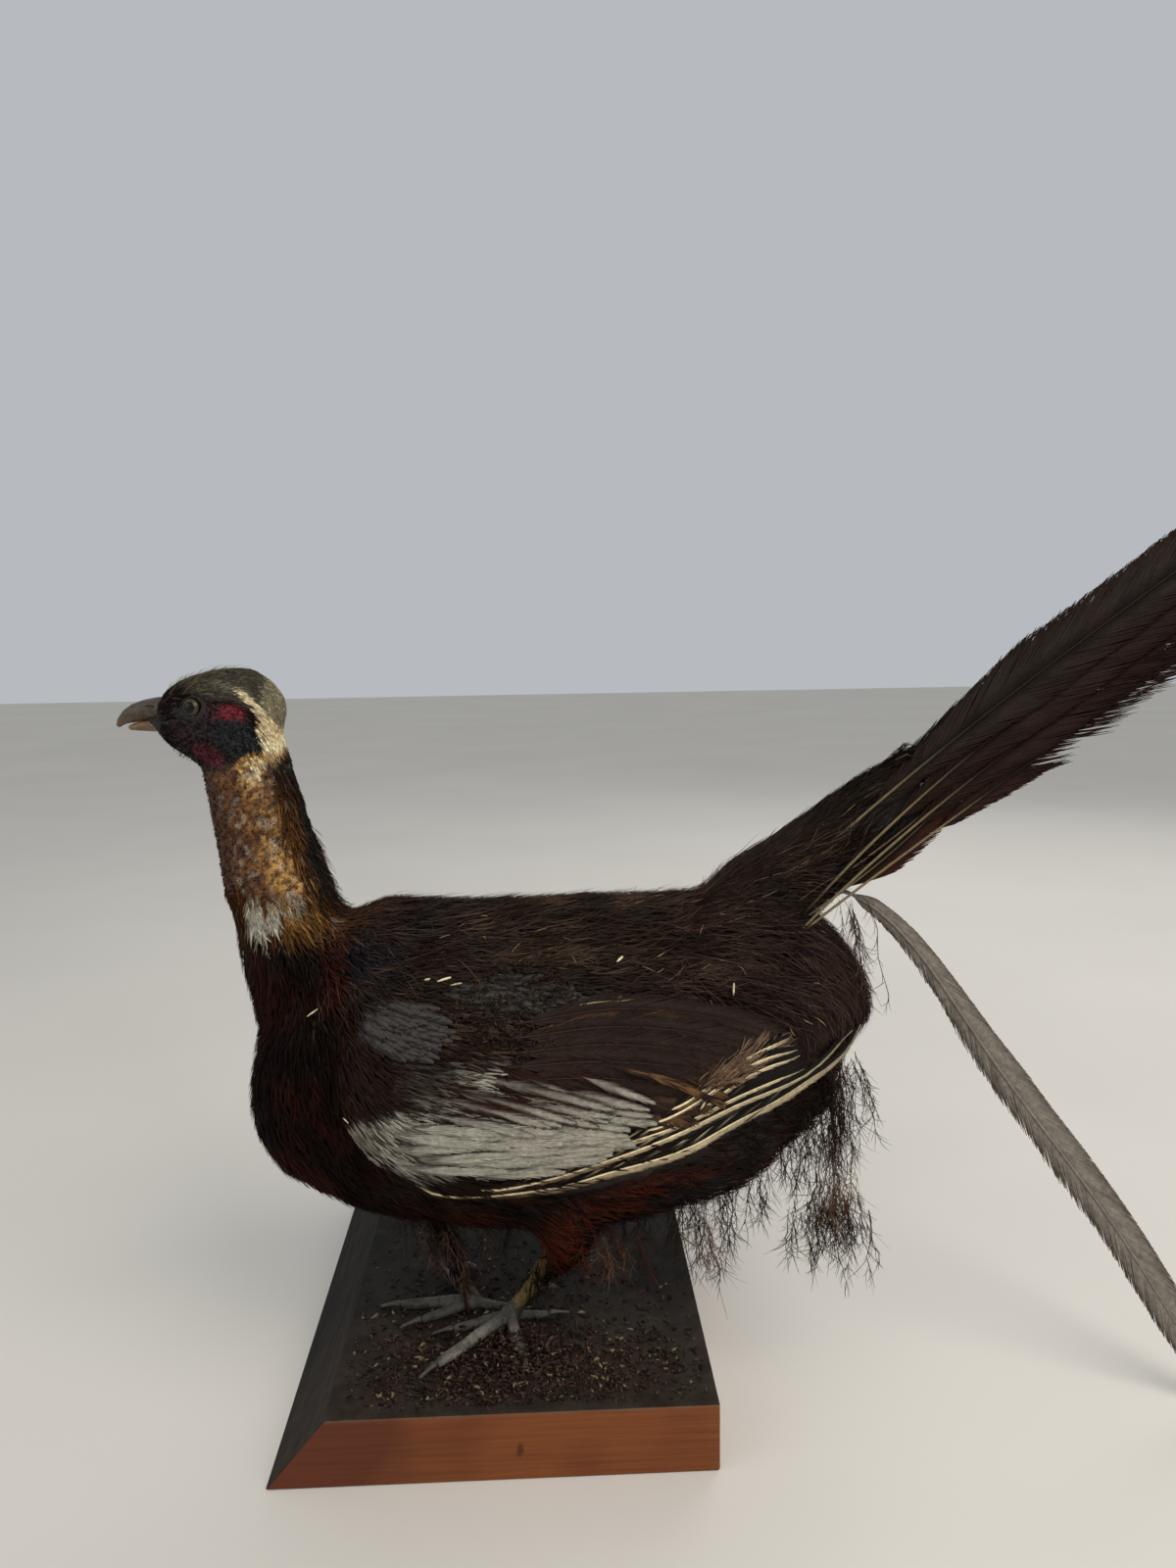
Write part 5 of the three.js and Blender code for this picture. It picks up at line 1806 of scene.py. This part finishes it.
# ---------------------------------------------------------------- block
def block_finish():
    """Varnished rust-brown wood with a grimy top that darkens towards the back, partly a stain and
    partly painted shade under the bird, a dusty rim and one small knot.
    """
    finish = Finish("block_wood", specular_ior_level=0.2)
    place = finish.stretched((0.3, 0.3, 9.0))
    grain = finish.noise(55.0, place, detail=6.0, rough=0.65)
    bands = finish.noise(11.0, finish.stretched((1.0, 0.3, 0.6)), detail=2.0)
    wood = finish.blend(bands.ramp(0.45, 0.62), ink("wood"), ink("wood_light"))
    wood = finish.blend(grain.ramp(0.6, 0.35) * 0.4, wood, ink("wood_dark"))
    away = finish.vector("SUBTRACT", finish.place, KNOT_AT)
    far = finish.vector("LENGTH", finish.stretched((1.6, 0.4, 0.7), away), output="Value")
    knot = (far + (finish.noise(300.0) - 0.5) * 0.004).ramp(0.0012, 0.003, 1.0, 0.0)
    wood = finish.blend(knot * 0.8, wood, ink("wood_dark"))
    height = finish.part("Z", finish.place)
    grime = finish.noise(120.0, detail=6.0, rough=0.7)
    # The top darkens towards the back: painted shade under the bird, together with some darker
    # staining.
    back = finish.part("Y", finish.place)
    stain_and_shade = (back + (grime - 0.5) * 0.03).ramp(-0.09, -0.02, 1.0, 0.3)
    top = finish.shade(ink("block_top"), grime.ramp(0.3, 0.7, 0.5, 1.7) * stain_and_shade)
    top = finish.dusted(top, 0.08)
    rim = height.ramp(0.0305, 0.0328) * grime.ramp(0.35, 0.6, 0.2, 1.0)
    side = finish.blend(rim * 0.7, wood, ink("dust"))
    level = finish.facing_up().ramp(0.25, 0.6)
    base = finish.blend(level, side, top)
    rough = level * 0.45 + grain.ramp(0.3, 0.7, 0.3, 0.5)
    finish.bump(grain * 0.5 + grime * level, 0.35, 0.0009)
    return finish.done(base, rough)


class PHEASANT_OT_block(bpy.types.Operator):
    """Makes the mitred wooden block with worn edges"""

    bl_idname = "pheasant.block"
    bl_label = "Wooden block"

    def execute(self, context):
        made = gather(("base_board",), 0.0)
        bmesh.ops.dissolve_limit(made, angle_limit=0.02, verts=made.verts, edges=made.edges)
        bmesh.ops.bevel(made, geom=made.edges[:], offset=0.0011, segments=3, profile=0.5,
                        affect="EDGES", material=-1)
        bmesh.ops.triangulate(made, faces=[f for f in made.faces if len(f.verts) > 4])
        mesh = as_mesh(made, "mount_block")
        new_piece("mount_block", mesh, block_finish(), ("base_board",))
        return {"FINISHED"}


class PHEASANT_OT_litter(bpy.types.Operator):
    """Scatters grit on the block, and straw and grit on the back and wing"""

    bl_idname = "pheasant.litter"
    bl_label = "Grit and straw"

    def execute(self, context):
        rng = np.random.default_rng(180)
        low, high = (to_bird(corner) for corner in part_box("base_board"))
        count = sizes().grit
        spots = np.concatenate([rng.normal((14, low[1] + 30), (44, 17), (count * 2, 2)),
                                rng.normal((13, -30), (9, 8), (count // 7, 2)),
                                rng.normal((-6, 0), (46, 40), (count, 2))])
        rng.shuffle(spots)
        inside = (spots[:, 0] > low[0] + 32) & (spots[:, 0] < high[0] - 4)
        inside &= (spots[:, 1] > low[1] + 5) & (spots[:, 1] < high[1] - 4)
        spots = spots[inside][:count]
        count = len(spots)
        coat = Coat()
        lengths = rng.gamma(2.0, 0.7, count) + 0.7
        turn = rng.uniform(0, math.tau, count)
        tilt = rng.uniform(-0.15, 0.5, count)
        ahead = np.stack([np.cos(turn), np.sin(turn), tilt], -1)
        share = np.linspace(0, 1, 3)
        heap = np.hypot(spots[:, 0] + 2, (spots[:, 1] + 14) * 0.9)
        toe = np.hypot(spots[:, 0] - 13, spots[:, 1] + 30)
        heap = (4.5 * np.exp(-(heap / 30) ** 2) + 5.5 * np.exp(-(toe / 11) ** 2)) * rng.random(count)
        base = np.column_stack([spots, BLOCK_TOP + 0.05 + heap])
        lines = base[:, None] + ahead[:, None] * (lengths[:, None] * share[None])[..., None]
        lines = lines + rng.normal(0, 0.35, (count, 3, 3)) * (1, 1, 0.3)
        lines[..., 2] = np.clip(lines[..., 2], BLOCK_TOP + 0.02, None)
        ups = np.tile((0.0, 0.0, 1.0), (count, 3, 1))
        widths = rng.uniform(0.5, 2.0, count)[:, None] * np.array([0.5, 1.0, 0.4])[None]
        heights = widths * rng.uniform(0.4, 0.9, count)[:, None]
        grime = ink("block_top")
        straw = ink("straw")
        pale = (rng.random(count) < 0.06)[:, None]
        brown = ink("leg_pink")
        grime = grime + (brown - grime) * rng.random((count, 1)) * 0.6
        tints = np.where(pale, straw * 0.6, grime * rng.uniform(0.3, 1.6, (count, 1)))
        tints = np.repeat(tints[:, None], 3, axis=1)
        patches = (spots - low[:2]) / (high[:2] - low[:2]) * 0.9 + 0.05
        coat.add(blade_rings(lines, ups, widths, heights), tints, patches)
        plumage_piece("grit", coat)
        self.straws(rng)
        return {"FINISHED"}

    def straws(self, rng):
        """Pale straws caught on the back and wing, and dark grit on the upper wing."""
        coat = Coat()

        def caught(points):
            back = spot(points, -8, 232, 46, 12, 0) + 0.5 * spot(points, 110, 218, 60, 34, 0)
            return back * smooth(5, -10, points[:, 1])

        lay(coat, 34, caught, rng, (2, 8), (0.2, 0.45), (4.2, 5.2),
            lambda p: rows_of("straw", len(p)), stray=45, curl=1.0, light=(1.0, 1.0), height=0.3)
        twig = np.array([(36, -60, 214), (42, -60, 216), (50, -59, 218)])
        plumes(coat, twig, rows_of("straw", 3), rng, (18, 30), (0.8, 1.3), (4.6, 6.0), stations=6,
               stray=7, curl=2.5, heading=np.tile((1.0, 0.0, 0.08), (3, 1)), light=(1.1, 0.8),
               height=0.6)
        bits = np.array([(60, -48, 232), (92, -52, 168), (111, -48, 213), (-26, -50, 226),
                         (-20, -50, 224), (-14, -50, 221), (-74, -40, 210), (-60, -52, 166)], float)
        white = rows_of("quill_cream", len(bits))
        plumes(coat, bits, white, rng, (3, 6), (0.7, 1.3), (4.2, 6.0), stray=50, height=0.6,
               light=(1.0, 1.0), tip=0.6, vary=0.2)

        def gritty(points):
            return spot(points, 16, 211, 27, 17, 0) * smooth(0, -10, points[:, 1])

        def grimy(points):
            return ink("block_top") * rng.uniform(0.4, 3.0, (len(points), 1))

        lay(coat, 900, gritty, rng, (1.0, 3.4), (0.4, 1.0), (4.0, 5.0), grimy, stations=3, stray=80,
            height=0.5)
        plumage_piece("caught_straw", coat)


class PHEASANT_OT_strands(bpy.types.Operator):
    """Makes the frayed strands that hang under the rump, belly and thighs"""

    bl_idname = "pheasant.strands"
    bl_label = "Hanging strands"

    # x, y and z of the root, height of the end, drift along x, spread, strands, colour, lightness
    clumps = (
        (168, -22, 168, 112, 3, 4, 22, "rump", 0.9),
        (162, -22, 162, 118, 4, 5, 18, "belly", 1.2),
        (172, -14, 246, 196, 8, 4, 9, "dusty", 0.4),
        (150, -22, 150, 112, 2, 6, 14, "belly", 1.0),
        (165, -20, 132, 84, 6, 4, 10, "dusty", 0.8),
        (156, -22, 98, 62, 3, 7, 20, "belly", 1.3),
        (172, -20, 100, 66, 2, 5, 18, "rump", 1.2),
        (166, -20, 112, 74, -4, 6, 12, "dusty", 0.6),
        (178, -18, 168, 124, 13, 1.5, 4, "belly", 2.0),
        (142, -16, 136, 100, 2, 7, 14, "belly", 1.0),
        (124, -12, 112, 84, 0, 8, 10, "belly", 1.0),
        (100, -16, 104, 58, 2, 7, 18, "belly", 1.1),
        (102, -22, 92, 58, 3, 3, 6, "dusty", 0.7),
        (74, -14, 104, 60, 0, 11, 18, "belly", 1.0),
        (46, -26, 96, 62, 8, 8, 10, "rust", 0.6),
        (54, -28, 88, 62, 8, 3, 4, "dusty", 0.7),
        (-4, -12, 98, 64, 0, 12, 12, "belly", 1.0),
        (-40, 10, 96, 60, 3, 8, 10, "belly", 1.0),
        (-28, 4, 80, 50, 8, 4, 6, "leg_pink", 1.1),
    )

    def execute(self, context):
        rng = np.random.default_rng(190)
        coat = Coat()
        for x, y, top, low, drift, spread, cores, name, light in self.clumps:
            shade = ink(name) * light
            shade = shade + 0.12 * ink("dusty")
            for _ in range(cores):
                start = rng.normal((x, y, top), (spread, 4, 3))
                drop = (top - low) * rng.uniform(0.5, 1.0)
                self.strand(coat, rng, start, (drift, 0, -drop), shade)
        plumage_piece("hanging_strands", coat)
        return {"FINISHED"}

    def strand(self, coat, rng, start, fall, shade):
        """One matted barb that hangs from start, with short curly side barbs all along it."""
        stations = 8
        share = np.linspace(0, 1, stations)
        wander = np.cumsum(rng.normal(0, 0.9, (stations, 3)) * (1.2, 0.9, 0.3), axis=0)
        core = start + wander + np.outer(share, fall)
        count = 19
        at = rng.uniform(0.0, 1.0, count)
        roots = np.stack([np.interp(at, share, core[:, k]) for k in range(3)], -1)
        ways = unit(rng.normal((0, 0, -1.0), (0.5, 0.4, 0.4), (count, 3)))
        bends = rng.normal(0, 2.6, (count, 1, 3)) * (1, 0.6, 0.6)
        reach = rng.uniform(4, 13, count)
        steps = np.linspace(0, 1, 4)
        sides = roots[:, None] + ways[:, None] * (reach[:, None] * steps[None])[..., None]
        sides = sides + bends * (steps**2)[None, :, None]
        for lines, wide in ((core[None], 0.3), (sides, 0.18)):
            number, stops = lines.shape[:2]
            ups = np.tile((0.0, -1.0, 0.0), (number, stops, 1))
            taper = np.interp(np.linspace(0, 1, stops), (0, 0.7, 1), (1, 0.9, 0.3))
            widths = wide * rng.uniform(0.6, 1.9, number)[:, None] * taper[None]
            tints = shade * rng.uniform(0.4, 1.7, (number, 1, 1)) * np.ones((1, stops, 1))
            coat.add(blade_rings(lines, ups, widths, widths * 0.6), tints, unwrap(lines[:, 0]))


# ---------------------------------------------------------------- stage
class PHEASANT_OT_stage(bpy.types.Operator):
    """Makes the floor, the soft lights and the camera"""

    bl_idname = "pheasant.stage"
    bl_label = "Floor, lights and camera"

    def execute(self, context):
        settings = context.scene.pheasant_stage
        self.floor(settings)
        self.lights(context, settings)
        self.camera(context, settings)
        context.scene.view_settings.view_transform = "Standard"
        return {"FINISHED"}

    def floor(self, settings):
        """A plain pale floor."""
        made = bmesh.new()
        bmesh.ops.create_grid(made, x_segments=1, y_segments=1, size=6.0)
        mesh = as_mesh(made, "floor")
        finish = Finish("floor", roughness=0.7)
        cloud = finish.noise(3.0, detail=2.0)
        base = finish.shade(tuple(settings.floor[:3]), cloud.ramp(0.3, 0.7, 0.97, 1.03))
        mesh.materials.append(finish.done(base))
        piece = bpy.data.objects.new("floor", mesh)
        bpy.context.scene.collection.objects.link(piece)

    def lights(self, context, settings):
        """An even sky, a large key light from the right and a weaker fill from the left."""
        world = bpy.data.worlds.new("studio")
        world.use_nodes = True
        back = world.node_tree.nodes["Background"]
        back.inputs["Color"].default_value = (0.86, 0.9, 0.95, 1.0)
        back.inputs["Strength"].default_value = settings.sky
        context.scene.world = world
        target = Vector((0.05, -0.05, 0.2))
        lamps = (("key", (0.75, -1.0, 1.25), 1.0, settings.key, (1.0, 0.96, 0.9)),
                 ("fill", (-1.3, -0.9, 0.8), 1.2, settings.fill, (0.92, 0.96, 1.0)),
                 ("rear", (0.9, 1.2, 1.2), 1.0, settings.fill * 1.4, (1.0, 1.0, 1.0)))
        for name, place, size, power, shade in lamps:
            light = bpy.data.lights.new(name, "AREA")
            light.size = size
            light.energy = power
            light.color = shade
            lamp = bpy.data.objects.new(name, light)
            lamp.location = place
            lamp.rotation_euler = (target - Vector(place)).to_track_quat("-Z", "Y").to_euler()
            context.scene.collection.objects.link(lamp)

    def camera(self, context, settings):
        """A camera a little above the bird, looking slightly down."""
        data = bpy.data.cameras.new("camera")
        data.sensor_width = 36.0
        data.lens = settings.lens
        data.clip_start = 0.01
        eye = bpy.data.objects.new("camera", data)
        pitch, yaw, roll = settings.pitch, settings.yaw, settings.roll
        ahead = Vector((math.sin(yaw) * math.cos(pitch), math.cos(yaw) * math.cos(pitch),
                        -math.sin(pitch)))
        right = Vector((math.cos(yaw), -math.sin(yaw), 0.0))
        up = right.cross(ahead)
        tipped_right = right * math.cos(roll) - up * math.sin(roll)
        tipped_up = up * math.cos(roll) + right * math.sin(roll)
        turn = Matrix((tipped_right, tipped_up, -ahead)).transposed().to_4x4()
        eye.matrix_world = Matrix.Translation(Vector(settings.camera_at)) @ turn
        context.scene.collection.objects.link(eye)
        context.scene.camera = eye


# ---------------------------------------------------------------- add-on
OPERATORS = (
    PHEASANT_OT_stage, PHEASANT_OT_block, PHEASANT_OT_skin, PHEASANT_OT_eyes, PHEASANT_OT_bill,
    PHEASANT_OT_claws, PHEASANT_OT_head_feathers, PHEASANT_OT_neck_feathers,
    PHEASANT_OT_body_feathers, PHEASANT_OT_wings, PHEASANT_OT_tail, PHEASANT_OT_strands,
    PHEASANT_OT_litter,
)
GROUPS = (
    ("pheasant_colours", PheasantColours),
    ("pheasant_sizes", PheasantSizes),
    ("pheasant_stage", PheasantStage),
)


class VIEW3D_PT_pheasant(bpy.types.Panel):
    """Lists the steps that make the pheasant, and its settings"""

    bl_label = "Pheasant"
    bl_space_type = "VIEW_3D"
    bl_region_type = "UI"
    bl_category = "Pheasant"

    def draw(self, context):
        for operator in OPERATORS:
            self.layout.operator(operator.bl_idname)
        for name, group in GROUPS:
            column = self.layout.column(align=True)
            for setting in group.__annotations__:
                column.prop(getattr(context.scene, name), setting)


CLASSES = tuple(group for _, group in GROUPS) + OPERATORS + (VIEW3D_PT_pheasant,)


def register():
    for item in CLASSES:
        bpy.utils.register_class(item)
    for name, group in GROUPS:
        setattr(bpy.types.Scene, name, PointerProperty(type=group))


def unregister():
    for name, _ in GROUPS:
        delattr(bpy.types.Scene, name)
    for item in reversed(CLASSES):
        bpy.utils.unregister_class(item)


def main():
    register()
    for operator in OPERATORS:
        family, name = operator.bl_idname.split(".")
        getattr(getattr(bpy.ops, family), name)()


if __name__ == "__main__":
    main()
